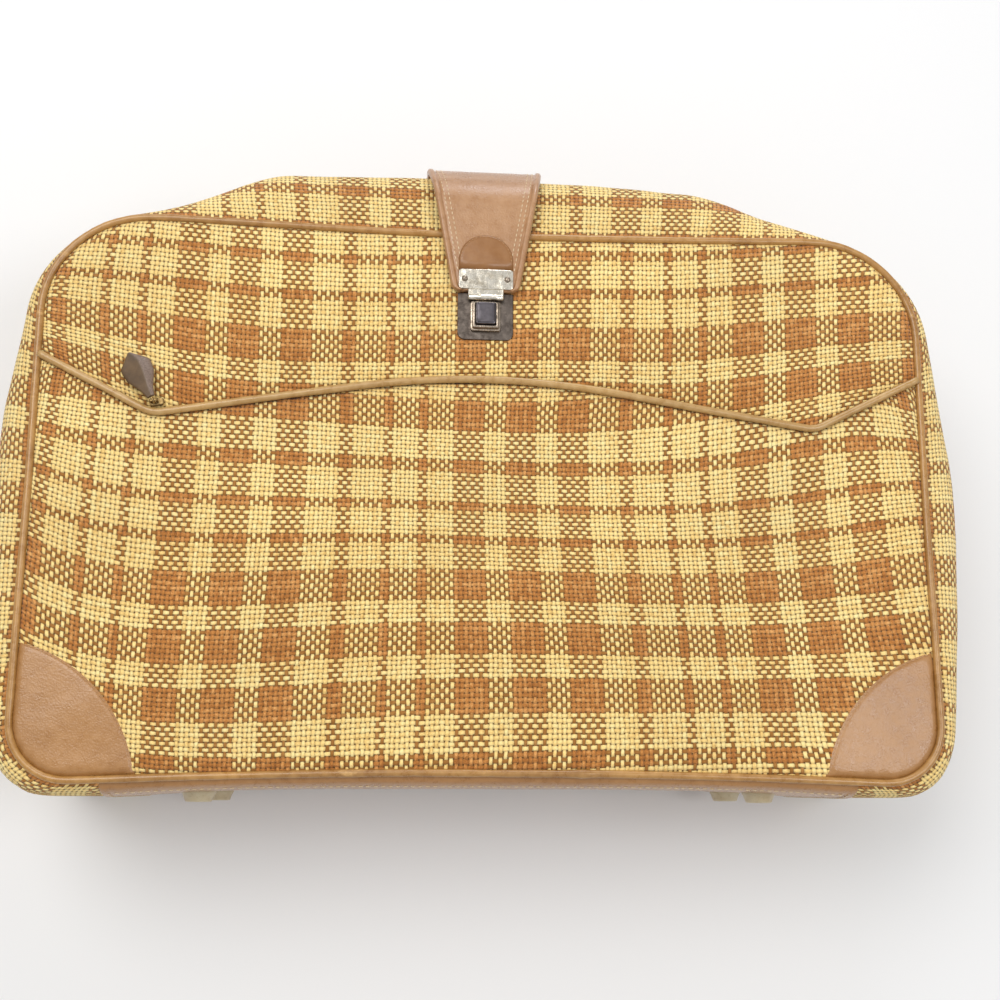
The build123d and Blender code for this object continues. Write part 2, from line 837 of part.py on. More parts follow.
def pocket_slider():
    body = extrude(RectangleRounded(pocket_slider_length, pocket_slider_width, pocket_slider_round),
                   pocket_slider_height)
    bar = pocket_slider_height + pocket_bail_height
    half = pocket_bail_length / 2
    deep = pocket_bail_depth / 2
    post = box(half - pocket_bail_wire, half, -deep, deep, pocket_slider_height, bar)
    bail = post + mirrored(post)
    bail += box(-half, half, -deep, deep, bar - pocket_bail_wire / 2, bar + pocket_bail_wire / 2)
    return (pocket_slider_place() * (body + Pos(pocket_bail_shift, 0, 0) * bail)).solid()


# The pull's own frame: x along the tab, y along the hinge line, at the slider's bail
def pocket_pull_place():
    bail = Pos(pocket_bail_shift, 0, pocket_slider_height + pocket_bail_height)
    turn = Rot(0, 0, pocket_pull_angle - pocket_run_angle()) * Rot(0, pocket_pull_droop, 0)
    return pocket_slider_place() * bail * turn


def pocket_ring():
    centre = pocket_ring_offset
    wire = Plane.XZ * Pos(pocket_ring_radius, 0) * RegularPolygon(pocket_ring_wire / 2, 8)
    ring_solid = Pos(centre, 0, 0) * Rot(90, 0, 0) * revolve(wire, Axis.Z)
    return (pocket_pull_place() * ring_solid).solid()


# The pull is a leather tab folded lengthwise like a low tent, with a pointed end
def pocket_pull():
    far_side = pocket_ring_offset + pocket_ring_radius
    start, end = far_side - pocket_ring_wire / 2, far_side + pocket_pull_length
    neck, wide = pocket_pull_neck / 2, pocket_pull_width / 2
    shape = make_face(Polyline((start, -neck), (end - pocket_pull_point, -wide), (end, 0),
                               (end - pocket_pull_point, wide), (start, neck), close=True))
    rise, low = pocket_pull_ridge, pocket_pull_thickness
    roof = [(-wide, 0), (0, rise), (wide, 0), (wide, -low), (0, rise - low), (-wide, -low)]
    section = make_face(Polyline(*[(0, y, z) for y, z in roof], close=True))
    tab = extrude(section, end, dir=(1, 0, 0)) & extrude(shape, 2 * wide, both=True)
    room = pocket_ring_wire / 2 + rivet_clearance
    tube = Plane.XZ * Pos(pocket_ring_radius, 0) * RegularPolygon(room, 8)
    tab -= Pos(pocket_ring_offset, 0, 0) * Rot(90, 0, 0) * revolve(tube, Axis.Z)
    tab -= box(start - 1, far_side - room, -room, room, -wide, wide)
    return (pocket_pull_place() * tab).solid()


nodes = {
    "back_panel": back_panel, "back_board": back_board, "back_lining": back_lining,
    "back_piping": back_piping, "back_corner_patches": back_corner_patches, "rear_gusset": rear_gusset,
    "base_panel": base_panel, "base_board": base_board, "feet": feet, "foot_rivets": foot_rivets,
    "rear_zip_tape": lambda: zip_tape(-1), "rear_zip_teeth": lambda: zip_teeth(-1),
    "top_board": top_board, "handle_chapes": handle_chapes, "handle_brackets": handle_brackets,
    "handle_rivets": handle_rivets, "front_gusset": front_gusset, "front_panel": front_panel,
    "pocket_panel": pocket_panel, "pocket_zip": pocket_zip, "pocket_piping": pocket_piping,
    "front_piping": front_piping, "front_board": front_board, "front_lining": front_lining,
    "front_corner_patches": front_corner_patches, "front_zip_tape": lambda: zip_tape(1),
    "front_zip_teeth": lambda: zip_teeth(1), "handle_grip": handle_grip, "main_slider": main_slider,
    "main_pull": main_pull, "pocket_slider": pocket_slider, "pocket_ring": pocket_ring,
    "pocket_pull": pocket_pull,
}
# These are drawn about x = 0, then set on the lock's line
lock_line_nodes = {
    "strap_anchor": strap_anchor, "anchor_rivets": anchor_rivets, "strap": strap, "strap_inset": strap_inset,
    "hasp": hasp, "hasp_rivets": hasp_rivets, "lock_plate": lock_plate, "lock_case": lock_case,
    "lock_spring": lock_spring, "lock_button": lock_button,
}

os.makedirs("parts", exist_ok=True)
for name, make in nodes.items():
    export_step(make(), "parts/" + name + ".step")
for name, make in lock_line_nodes.items():
    export_step(Pos(lock_line_x, 0, 0) * make(), "parts/" + name + ".step")
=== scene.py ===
import json
import math

import bmesh
import bpy
import numpy as np
from mathutils import Matrix, Vector, noise
from mathutils.geometry import delaunay_2d_cdt


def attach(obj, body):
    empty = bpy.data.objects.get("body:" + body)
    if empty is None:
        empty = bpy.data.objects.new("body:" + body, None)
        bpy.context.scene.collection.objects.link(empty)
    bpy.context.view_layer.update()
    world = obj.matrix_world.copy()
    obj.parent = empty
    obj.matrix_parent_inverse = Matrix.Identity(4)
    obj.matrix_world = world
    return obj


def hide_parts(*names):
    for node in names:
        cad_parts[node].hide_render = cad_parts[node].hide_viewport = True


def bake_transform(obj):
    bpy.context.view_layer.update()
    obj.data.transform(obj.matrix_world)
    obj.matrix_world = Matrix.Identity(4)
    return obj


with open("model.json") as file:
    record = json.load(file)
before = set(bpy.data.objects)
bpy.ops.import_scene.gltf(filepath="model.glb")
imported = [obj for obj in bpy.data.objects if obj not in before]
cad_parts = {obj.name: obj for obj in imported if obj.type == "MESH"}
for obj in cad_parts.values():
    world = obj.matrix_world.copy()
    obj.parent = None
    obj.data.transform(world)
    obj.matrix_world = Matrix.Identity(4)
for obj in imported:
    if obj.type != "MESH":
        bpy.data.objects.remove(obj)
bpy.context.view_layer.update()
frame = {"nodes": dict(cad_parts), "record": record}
mm = 0.001
print("frame loaded")

# Sizes in millimetres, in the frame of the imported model
case = {
    "depth": 116.0, "halfHeight": 130.0, "widthLow": 408.0, "widthMiddle": 410.0, "widthHigh": 415.0,
    "crown": 1.5, "middleY": -5.0, "radii": [27, 27, 380, 49, 60, 60, 49, 380], "sag": 3.8, "bow": 3.5,
    "ridgeRise": 33.0, "ridgeFlat": 222.0, "shoulderDrop": 20.0, "baseDrop": 1.0,
    "bulgeLow": 8.0, "bulgeMiddle": 21.0, "bulgeHigh": 5.0,
    "panelTop": 115.1, "hingeY": -128.25, "hingeZ": 114.25, "cornerDrop": 4.0, "zipHeight": 68.0, "zipEndY": -70.0,
    "ridgeY": 163.0, "baseY": -131.0, "baseFaceY": -133.2, "lockX": -2.5,
}
# The UV maps count fifty-eighths of the sett, which has 64 yarns
yarn = {"pitch": 2.276, "parts": 58, "repeat": 64}


# Shader maths as Python expressions: a wrapped socket adds Math nodes
class Value:
    def __init__(self, finish, socket):
        self.finish, self.socket = finish, socket

    def maths(self, operation, *values):
        return self.finish.calc(operation, *values)

    def __add__(self, other):
        return self.maths("ADD", self, other)

    def __radd__(self, other):
        return self.maths("ADD", other, self)

    def __sub__(self, other):
        return self.maths("SUBTRACT", self, other)

    def __rsub__(self, other):
        return self.maths("SUBTRACT", other, self)

    def __mul__(self, other):
        return self.maths("MULTIPLY", self, other)

    def __rmul__(self, other):
        return self.maths("MULTIPLY", other, self)

    def __truediv__(self, other):
        return self.maths("DIVIDE", self, other)

    def __gt__(self, other):
        return self.maths("GREATER_THAN", self, other)

    def __abs__(self):
        return self.maths("ABSOLUTE", self)

    def __pow__(self, other):
        return self.maths("POWER", self, other)


class Finish:
    def __init__(self, name):
        self.material = bpy.data.materials.new(name)
        self.material.use_nodes = True
        self.tree = self.material.node_tree
        self.shader = self.tree.nodes["Principled BSDF"]

    def node(self, kind, settings=None, inputs=None, output=0):
        made = self.tree.nodes.new(kind)
        for key, value in (settings or {}).items():
            if key == "stops":
                ramp = made.color_ramp
                while len(ramp.elements) < len(value):
                    ramp.elements.new(0.5)
                for element, (place, colour) in zip(ramp.elements, value):
                    element.position, element.color = place, colour
            elif key == "steps":
                made.color_ramp.interpolation = value
            else:
                setattr(made, key, value)
        for key, value in (inputs or {}).items():
            self.feed(made.inputs[key], value)
        return Value(self, made.outputs[output])

    def feed(self, socket, value):
        if isinstance(value, Value):
            self.tree.links.new(value.socket, socket)
        elif isinstance(value, (tuple, list)) and len(value) == 3 and socket.type == "RGBA":
            socket.default_value = (*value, 1.0)
        else:
            socket.default_value = value

    def calc(self, operation, *values):
        return self.node("ShaderNodeMath", {"operation": operation}, dict(enumerate(values)))

    def mix(self, share, first, second):
        return self.node("ShaderNodeMix", {"data_type": "RGBA"}, {0: share, 6: first, 7: second}, 2)

    def ramp(self, place, *stops):
        stops = [(at, (*shade, 1)) for at, shade in stops]
        return self.node("ShaderNodeValToRGB", {"stops": stops}, {0: place})

    def place(self):
        return self.node("ShaderNodeTexCoord", output=3)

    def cloud(self, vector, scale, detail=3.0, rough=0.5, size="3D"):
        inputs = {"Vector": vector, "Scale": scale, "Detail": detail, "Roughness": rough}
        return self.node("ShaderNodeTexNoise", {"noise_dimensions": size}, inputs)

    def cloudColour(self, vector, scale, detail):
        inputs = {"Vector": vector, "Scale": scale, "Detail": detail}
        return self.node("ShaderNodeTexNoise", {"noise_dimensions": "2D"}, inputs, 1)

    def stretched(self, vector, scale, turn=(0, 0, 0)):
        return self.node("ShaderNodeMapping", inputs={"Vector": vector, "Scale": scale, "Rotation": turn})

    def span(self, value, low, high, outLow, outHigh):
        inputs = {0: value, 1: low, 2: high, 3: outLow, 4: outHigh}
        return self.node("ShaderNodeMapRange", {"clamp": True}, inputs)

    def bump(self, height, distance, strength=1.0, under=None):
        inputs = {"Height": height, "Distance": distance, "Strength": strength}
        if under is not None:
            inputs["Normal"] = under
        return self.node("ShaderNodeBump", inputs=inputs)

    def surface(self, **values):
        names = {"colour": "Base Color", "roughness": "Roughness", "metallic": "Metallic", "normal": "Normal",
                 "coat": "Coat Weight", "coatRoughness": "Coat Roughness", "sheen": "Sheen Weight",
                 "specular": "Specular IOR Level"}
        for key, value in values.items():
            self.feed(self.shader.inputs[names[key]], value)
        return self.material


def colour(red, green, blue):
    shares = [c / 255 for c in (red, green, blue)]
    return tuple(c / 12.92 if c <= 0.04045 else ((c + 0.055) / 1.055) ** 2.4 for c in shares)


# Coarse plain weave; both ways repeat the same sett of brown and yellow
plaid = {
    "browns": [(0, 7), (12, 19), (24, 31), (38, 41), (48, 50), (56, 58)],
    "brown": colour(196, 128, 62), "brownDark": colour(128, 72, 24), "brownPale": colour(244, 186, 116),
    "yellow": colour(255, 218, 138), "yellowDark": colour(208, 160, 80), "yellowPale": colour(255, 242, 176),
    # gap: the backing seen in shade through the holes, also used as painted shade beside the yarns; olive: painted
    # shade on brown yarns between yellow ones
    "gap": colour(98, 64, 18), "shadedOlive": colour(140, 98, 40), "warp": 0.375, "weft": 0.39, "wave": 0.62, "round": 0.75,
    "wander": 0.18, "relief": 0.0007,
}


def settStops():
    stops, end = [], 0
    for low, high in plaid["browns"]:
        if low > end:
            stops.append((end / yarn["repeat"], (0, 0, 0, 1)))
        stops.append((low / yarn["repeat"], (1, 1, 1, 1)))
        end = high
    stops.append((end / yarn["repeat"], (0, 0, 0, 1)))
    return stops


def plaidFabric():
    cloth = Finish("plaidFabric")
    counted = cloth.node("ShaderNodeVectorMath", {"operation": "MULTIPLY"},
                         {0: cloth.node("ShaderNodeUVMap", {"uv_map": "yarn"}),
                          1: (yarn["repeat"] / yarn["parts"],) * 3})
    drift = cloth.node("ShaderNodeVectorMath", {"operation": "SUBTRACT"},
                       {0: cloth.cloudColour(counted, 0.35, 2.0), 1: (0.5, 0.5, 0.5)})
    moved = cloth.node("ShaderNodeVectorMath", {"operation": "MULTIPLY_ADD"},
                       {0: drift, 1: (plaid["wander"] * 2,) * 3, 2: counted})
    u = cloth.node("ShaderNodeSeparateXYZ", inputs={0: moved}, output=0)
    v = cloth.node("ShaderNodeSeparateXYZ", inputs={0: moved}, output=1)
    column, row = cloth.calc("FLOOR", u), cloth.calc("FLOOR", v)
    fuzz = cloth.cloud(moved, 3.4, 3.0, 0.6)
    across, along = u - column - 0.5, v - row - 0.5

    def sideOf(count):  # 1 on even yarns, -1 on odd ones
        return 1 - 2 * abs(cloth.calc("MODULO", count, 2.0))

    def yarnSet(count, off, other, way, seed, half):
        slub = cloth.cloud(cloth.node("ShaderNodeCombineXYZ", inputs={0: count * 7.31 + seed, 1: other * 0.8}),
                           1.0, 2.0, size="2D")
        width = half * (0.56 + 0.40 * slub + 0.44 * fuzz)
        edge = 1 - (off / width) ** 2
        inside = edge > 0
        rounded = cloth.calc("SQRT", cloth.calc("MAXIMUM", edge, 0.0))
        lift = way * cloth.calc("COSINE", (other - 0.5) * math.pi)
        height = plaid["wave"] * lift + plaid["round"] * rounded - 4 * (1 - inside)
        place = cloth.calc("FRACT", (count + 0.5) / yarn["repeat"])
        brown = cloth.node("ShaderNodeValToRGB", {"stops": settStops(), "steps": "CONSTANT"}, {0: place})
        shade = cloth.node("ShaderNodeTexWhiteNoise", {"noise_dimensions": "1D"}, {"W": count + seed})
        return height, brown, shade

    warp = yarnSet(column, across, v, sideOf(column), 3.0, plaid["warp"])
    weft = yarnSet(row, along, u, -1 * sideOf(row), 41.0, plaid["weft"])
    weftUp = weft[0] > warp[0]
    brown = cloth.mix(weftUp, warp[1], weft[1])
    shade = cloth.mix(weftUp, warp[2], weft[2])
    # Fibres run along whichever yarn is on top
    fibreWarp = cloth.cloud(cloth.stretched(moved, (9, 1.6, 1)), 1.0, 4.0, 0.7)
    fibreWeft = cloth.cloud(cloth.stretched(moved, (1.6, 9, 1)), 1.0, 4.0, 0.7)
    fibre = cloth.mix(weftUp, fibreWarp, fibreWeft)
    fibre = cloth.node("ShaderNodeSeparateColor", inputs={0: fibre})
    shade = cloth.node("ShaderNodeSeparateColor", inputs={0: shade})
    mottle = 0.22 * cloth.cloud(moved, 5.5, 3.0, 0.65)
    tone = cloth.span(0.5 * fibre + mottle + 0.12 * shade + 0.35 * cloth.cloud(counted, 0.7, 3.0), 0.40, 0.76, 0.0, 1.0)
    yellows = cloth.ramp(tone, (0.0, plaid["yellowDark"]), (0.45, plaid["yellow"]), (1.0, plaid["yellowPale"]))
    browns = cloth.ramp(tone, (0.0, plaid["brownDark"]), (0.5, plaid["brown"]), (1.0, plaid["brownPale"]))
    # Painted shade: brown yarns are darkened to olive where they lie between raised yellow ones
    crossed = cloth.mix(weftUp, weft[1], warp[1])
    crossed = cloth.node("ShaderNodeSeparateColor", inputs={0: crossed})
    browns = cloth.mix(0.62 * (1 - crossed), browns, plaid["shadedOlive"])
    clothColour = cloth.mix(brown, yellows, browns)
    height = cloth.calc("MAXIMUM", cloth.calc("MAXIMUM", warp[0], weft[0]), -0.9)
    # Painted shade: the colour falls towards the gap colour as the yarn surface sinks, a little at each yarn's edges
    # and fully in the holes
    holesAndShade = cloth.span(height, -0.6, 1.2, 1.0, 0.0)
    aged = cloth.span(cloth.cloud(counted, 0.03, 3.0), 0.3, 0.7, 0.0, 0.12)
    clothColour = cloth.mix(aged, clothColour, plaid["gap"])
    # Painted shade beside and between the yarns
    clothColour = cloth.mix(holesAndShade ** 1.4, clothColour, plaid["gap"])
    height = height + 0.25 * fibre
    return cloth.surface(colour=clothColour, roughness=0.86, sheen=0.15, specular=0.25,
                         normal=cloth.bump(height, plaid["relief"], 0.9))


# Vinyl and leather: fine grain, slow colour drift, small scuffs
def hide(name, main, dark, pale, roughness, grain=1700.0, relief=0.00008, coat=0.0, scuff=0.35, pores=0.0):
    skin = Finish(name)
    at = skin.place()
    drift = skin.span(skin.cloud(at, 28.0, 4.0, 0.6), 0.3, 0.7, 0.0, 1.0)
    mottle = skin.span(skin.cloud(at, 240.0, 4.0, 0.6), 0.35, 0.7, 0.0, 1.0)
    base = skin.mix(0.75 * drift, main, dark)
    base = skin.mix(0.3 * mottle, base, pale)
    worn = skin.span(skin.cloud(skin.stretched(at, (1, 2.3, 1.6)), 75.0, 6.0, 0.75), 0.6, 0.72, 0.0, scuff)
    base = skin.mix(worn, base, pale)
    cells = skin.node("ShaderNodeTexVoronoi", {"feature": "SMOOTH_F1"}, {"Vector": at, "Scale": grain})
    fine = skin.cloud(at, grain * 1.7, 3.0, 0.6)
    height = 0.7 * cells + 0.4 * fine
    if pores:
        dots = skin.node("ShaderNodeTexVoronoi", inputs={"Vector": at, "Scale": grain * 0.5})
        base = skin.mix(skin.span(dots, 0.0, 0.28, pores, 0.0), base, dark)
    normal = skin.bump(height, relief, 0.6, skin.bump(skin.cloud(at, 130.0, 3.0), 0.0007, 0.35))
    rough = skin.span(mottle + worn, 0.0, 1.4, roughness - 0.05, roughness + 0.12)
    return skin.surface(colour=base, roughness=rough, coat=coat, coatRoughness=0.35, normal=normal)


def plated(name, bright, dull, roughness, dullShare=0.4, brushed=0.0):
    metal = Finish(name)
    at = metal.place()
    tarnish = metal.span(metal.cloud(at, 210.0, 6.0, 0.72), 0.44, 0.62, 0.0, dullShare)
    lines = metal.cloud(metal.stretched(at, (1, 14, 14)), 420.0, 3.0, 0.6)
    scratches = metal.span(metal.cloud(metal.stretched(at, (30, 1.2, 8), (0.3, 0.1, 0.5)), 160.0, 2.0, 0.4),
                           0.66, 0.7, 0.0, 0.5)
    tone = metal.mix(tarnish, bright, dull)
    tone = metal.mix(0.5 * scratches, tone, dull)
    rough = metal.span(tarnish + 0.6 * scratches + brushed * lines, 0.0, 1.2, roughness, roughness + 0.3)
    height = lines * brushed + metal.cloud(at, 900.0, 2.0) * 0.25 - scratches * 0.5
    dented = metal.bump(metal.cloud(at, 130.0, 2.0), 0.0009, 0.5)
    return metal.surface(colour=tone, metallic=1.0, roughness=rough, normal=metal.bump(height, 0.00004, 0.5, dented))


def wovenTape(name, main, dark, threads=2200.0):
    tape = Finish(name)
    at = tape.place()
    ribs = tape.node("ShaderNodeTexWave", {"bands_direction": "DIAGONAL"},
                     {"Vector": at, "Scale": threads / 6, "Distortion": 0.6, "Detail": 2.0})
    lint = tape.cloud(at, threads, 3.0, 0.6)
    tone = tape.mix(0.6 * tape.span(ribs + lint, 0.5, 1.5, 0.0, 1.0), dark, main)
    return tape.surface(colour=tone, roughness=0.9, normal=tape.bump(ribs + 0.5 * lint, 0.0001, 0.6))


def liningCloth():
    cloth = Finish("liningCloth")
    at = cloth.place()
    weave = cloth.node("ShaderNodeTexMagic", {"turbulence_depth": 1},
                       {"Vector": at, "Scale": 1400.0, "Distortion": 0.6}, 1)
    slub = cloth.cloud(cloth.stretched(at, (1, 9, 9)), 160.0, 4.0, 0.6)
    tone = cloth.mix(cloth.span(weave * 0.5 + slub, 0.3, 1.1, 0.0, 1.0), colour(178, 150, 108), colour(216, 194, 152))
    return cloth.surface(colour=tone, roughness=0.85, sheen=0.1,
                         normal=cloth.bump(weave + slub, 0.00012, 0.5))


def fibreBoard():
    board = Finish("fibreBoard")
    at = board.place()
    fibres = board.cloud(board.stretched(at, (1, 5, 5)), 380.0, 6.0, 0.75)
    specks = board.span(board.cloud(at, 900.0, 2.0), 0.62, 0.7, 0.0, 0.7)
    tone = board.mix(board.span(fibres, 0.3, 0.7, 0.0, 1.0), colour(120, 92, 60), colour(164, 132, 92))
    tone = board.mix(specks, tone, colour(92, 68, 44))
    return board.surface(colour=tone, roughness=0.92, normal=board.bump(fibres, 0.0002, 0.5))


def mouldedPlastic():
    plastic = Finish("footPlastic")
    at = plastic.place()
    drift = plastic.span(plastic.cloud(at, 120.0, 4.0, 0.6), 0.35, 0.7, 0.0, 1.0)
    grime = plastic.span(plastic.cloud(at, 420.0, 5.0, 0.7), 0.55, 0.75, 0.0, 0.6)
    tone = plastic.mix(drift, colour(196, 182, 150), colour(178, 158, 122))
    tone = plastic.mix(grime, tone, colour(136, 112, 80))
    return plastic.surface(colour=tone, roughness=plastic.span(grime, 0.0, 0.6, 0.38, 0.6), coat=0.15,
                           coatRoughness=0.25, normal=plastic.bump(plastic.cloud(at, 1400.0, 2.0), 0.00003, 0.5))


def sewingThread(name, dark, pale):
    thread = Finish(name)
    at = thread.place()
    twist = thread.cloud(at, 2600.0, 3.0, 0.6)
    tone = thread.mix(thread.span(twist, 0.3, 0.7, 0.0, 1.0), dark, pale)
    return thread.surface(colour=tone, roughness=0.8, normal=thread.bump(twist, 0.00005, 0.5))


# Smooth dark leather on one side of the pull's fold, paler and grained on the other
def foldedLeather():
    skin = Finish("pullLeather")
    at = skin.place()
    across = skin.node("ShaderNodeSeparateXYZ", inputs={0: skin.node("ShaderNodeUVMap", {"uv_map": "yarn"})})
    drift = skin.span(skin.cloud(at, 160.0, 4.0, 0.6), 0.3, 0.7, 0.0, 1.0)
    grain = skin.cloud(at, 1600.0, 4.0, 0.7)
    dark = skin.mix(drift, colour(102, 78, 50), colour(76, 56, 34))
    pale = skin.mix(skin.span(grain, 0.35, 0.65, 0.0, 1.0), colour(136, 116, 102), colour(92, 74, 62))
    tone = skin.mix(skin.span(across + 0.5 * drift, 0.1, 0.6, 1.0, 0.0), dark, pale)
    return skin.surface(colour=tone, roughness=0.42, normal=skin.bump(grain, 0.0001, 0.6))


finishes = {
    "plaid_fabric": plaidFabric(),
    "tan_vinyl": hide("tanVinyl", colour(166, 118, 66), colour(144, 98, 50), colour(194, 148, 98), 0.30,
                      1300.0, 0.00028, 0.3),
    "piping_vinyl": hide("pipingVinyl", colour(172, 124, 60), colour(122, 78, 28), colour(222, 178, 112), 0.30,
                         1500.0, 0.00006, 0.3, 0.6),
    "pocket_vinyl": hide("pocketVinyl", colour(184, 144, 84), colour(144, 104, 50), colour(226, 196, 140), 0.30,
                         1500.0, 0.00006, 0.3, 0.6),
    "strap_leather": hide("strapLeather", colour(168, 124, 84), colour(142, 98, 60), colour(198, 156, 116), 0.30,
                          1300.0, 0.00026, 0.35, 0.3, 0.3),
    "inset_leather": hide("insetLeather", colour(146, 99, 52), colour(128, 82, 38), colour(168, 122, 74), 0.36,
                          1900.0, 0.00005, 0.12),
    "pull_leather": foldedLeather(),
    "grip_vinyl": hide("gripVinyl", colour(168, 120, 70), colour(140, 94, 50), colour(198, 152, 102), 0.34,
                       1300.0, 0.00012, 0.25),
    "fibre_board": fibreBoard(),
    "lining_cloth": liningCloth(),
    "zip_tape": wovenTape("zipTape", colour(150, 112, 62), colour(104, 74, 38)),
    "zip_metal": plated("zipMetal", colour(178, 152, 104), colour(108, 84, 48), 0.32, 0.7),
    "nickel": plated("nickel", colour(250, 243, 228), colour(104, 92, 70), 0.14, 0.7),
    "dark_nickel": plated("darkNickel", colour(108, 99, 92), colour(52, 45, 40), 0.24, 0.7, 0.5),
    "case_nickel": plated("caseNickel", colour(176, 162, 146), colour(78, 68, 58), 0.2, 0.7, 0.4),
    "button_steel": plated("buttonSteel", colour(96, 92, 96), colour(60, 56, 56), 0.26, 0.5, 0.7),
    "foot_plastic": mouldedPlastic(),
}
paleThread = sewingThread("paleThread", colour(196, 172, 134), colour(232, 214, 180))
tanThread = sewingThread("tanThread", colour(150, 108, 72), colour(206, 166, 124))
print("finishes made")


# Geometry helpers
def unit(vector):
    return vector / np.linalg.norm(vector)


def arcRound(before, here, after, radius, count):
    toBefore, toAfter = unit(before - here), unit(after - here)
    half = math.acos(max(-1.0, min(1.0, float(toBefore @ toAfter)))) / 2
    reach = radius / math.tan(half)
    centre = here + unit(toBefore + toAfter) * radius / math.sin(half)
    start, end = here + toBefore * reach - centre, here + toAfter * reach - centre
    turn = math.pi - 2 * half
    points = []
    for k in range(count + 1):
        share = k / count
        points.append(centre + (start * math.sin((1 - share) * turn) + end * math.sin(share * turn)) / math.sin(turn))
    return points


def unitRows(vectors):
    return vectors / np.linalg.norm(vectors, axis=1)[:, None]


def runLength(points):
    return np.concatenate([[0], np.cumsum(np.linalg.norm(np.diff(points, axis=0), axis=1))])


def turns(count):
    return np.linspace(0, 2 * math.pi, count, endpoint=False)


def addObject(name, data):
    obj = bpy.data.objects.new(name, data)
    bpy.context.scene.collection.objects.link(obj)
    return obj


# A path through corner points with every corner rounded, cut into even steps
def roundedPath(corners, radii, step):
    corners = [np.array(c, float) for c in corners]
    points = [corners[0]]
    for before, here, after, radius in zip(corners, corners[1:], corners[2:], radii):
        points += arcRound(before, here, after, radius, 24)
    return evenSteps(np.array(points + [corners[-1]]), step)


def evenSteps(points, step):
    lengths = runLength(points)
    count = max(2, int(round(lengths[-1] / step)) + 1)
    at = np.linspace(0, lengths[-1], count)
    return np.stack([np.interp(at, lengths, points[:, k]) for k in range(points.shape[1])], 1)


def outlineCorners(share):
    low = case["widthLow"] / 2 + share * case["bulgeLow"]
    middle = case["widthMiddle"] / 2 + share * case["bulgeMiddle"]
    high = case["widthHigh"] / 2 + share * case["bulgeHigh"]
    top = case["halfHeight"] - case["crown"] - share * case["shoulderDrop"]
    ridge = case["halfHeight"] + share * case["ridgeRise"]
    bottom = -case["halfHeight"] - (case["baseDrop"] if share else 0)
    flat = case["ridgeFlat"] / 2
    return [(-low, bottom), (low, bottom), (middle, case["middleY"]), (high, top), (flat, ridge), (-flat, ridge),
            (-high, top), (-middle, case["middleY"])]


def movedIn(points, inset):
    lines = []
    for i, (x, y) in enumerate(points):
        nx, ny = points[(i + 1) % len(points)]
        length = math.hypot(nx - x, ny - y)
        dx, dy = (nx - x) / length, (ny - y) / length
        lines.append((x - dy * inset, y + dx * inset, dx, dy))
    result = []
    for i, (x, y, dx, dy) in enumerate(lines):
        px, py, qx, qy = lines[i - 1]
        t = ((x - px) * dy - (y - py) * dx) / (qx * dy - qy * dx)
        result.append(np.array((px + qx * t, py + qy * t)))
    return result


# The outline as a ring of points that match from one share to the next, from the middle of the base
ring = {"arcs": [9, 9, 6, 14, 9, 9, 14, 6], "sides": [60, 18, 18, 14, 34, 14, 18, 18]}


def outlineRing(share, inset=0.0):
    corners = movedIn(outlineCorners(share), inset)
    arcs = [arcRound(corners[k - 1], corners[k], corners[(k + 1) % 8], max(case["radii"][k] - inset, 6.0),
                     ring["arcs"][k]) for k in range(8)]
    points = []
    for k in range(8):
        points += arcs[k]
        start, end = arcs[k][-1], arcs[(k + 1) % 8][0]
        points += [start + (end - start) * i / ring["sides"][k] for i in range(1, ring["sides"][k])]
    points = np.array(points)
    middle = ring["arcs"][0] + 1 + ring["sides"][0] // 2 - 1
    return np.roll(points, -middle, axis=0)


# The soft top edge sags in the middle and the bottom edge bows in
def settled(points):
    x, y = points[:, 0], points[:, 1]
    fall = -case["sag"] * np.clip(1 - (x / 150) ** 2, 0, 1) * smoothStep(y, 50, 127)
    lift = case["bow"] * np.clip(1 - (x / 175) ** 2, 0, 1) * smoothStep(-y, 50, 127)
    return np.column_stack([x, y + fall + lift])


def settledRing(inset=0.0):
    return settled(outlineRing(0, inset))


def outwards(points):
    along = unitRows(np.roll(points, -1, axis=0) - np.roll(points, 1, axis=0))
    return np.stack([along[:, 1], -along[:, 0]], 1)


def ringLength(points):
    return runLength(np.vstack([points, points[:1]]))


def ripple(points, size, seed):
    return np.array([noise.noise(Vector(p) / size + Vector((seed, seed * 1.7, seed * 2.3))) for p in points])


def smoothStep(x, low, high):
    t = np.clip((x - low) / (high - low), 0, 1)
    return t * t * (3 - 2 * t)


def addMesh(name, points, faces, finish, uv=None, sharp=None):
    mesh = bpy.data.meshes.new(name)
    mesh.from_pydata([tuple(p) for p in np.asarray(points, float) * mm], [], [list(map(int, f)) for f in faces])
    if uv is not None:
        layer = mesh.uv_layers.new(name="yarn")
        index = np.zeros(len(mesh.loops), int)
        mesh.loops.foreach_get("vertex_index", index)
        layer.data.foreach_set("uv", np.asarray(uv, float)[index].ravel())
    mesh.polygons.foreach_set("use_smooth", [True] * len(mesh.polygons))
    mesh.materials.append(finish)
    obj = addObject(name, mesh)
    tidyMesh(obj, sharp)
    return obj


def tidyMesh(obj, sharp):
    shape = bmesh.new()
    shape.from_mesh(obj.data)
    bmesh.ops.remove_doubles(shape, verts=shape.verts, dist=0.5e-6)
    bmesh.ops.dissolve_degenerate(shape, edges=shape.edges, dist=0.5e-6)
    loose = [v for v in shape.verts if not v.link_faces]
    bmesh.ops.delete(shape, geom=loose, context="VERTS")
    bmesh.ops.recalc_face_normals(shape, faces=shape.faces)
    shape.to_mesh(obj.data)
    shape.free()
    if sharp is not None:
        obj.data.set_sharp_from_angle(angle=math.radians(sharp))


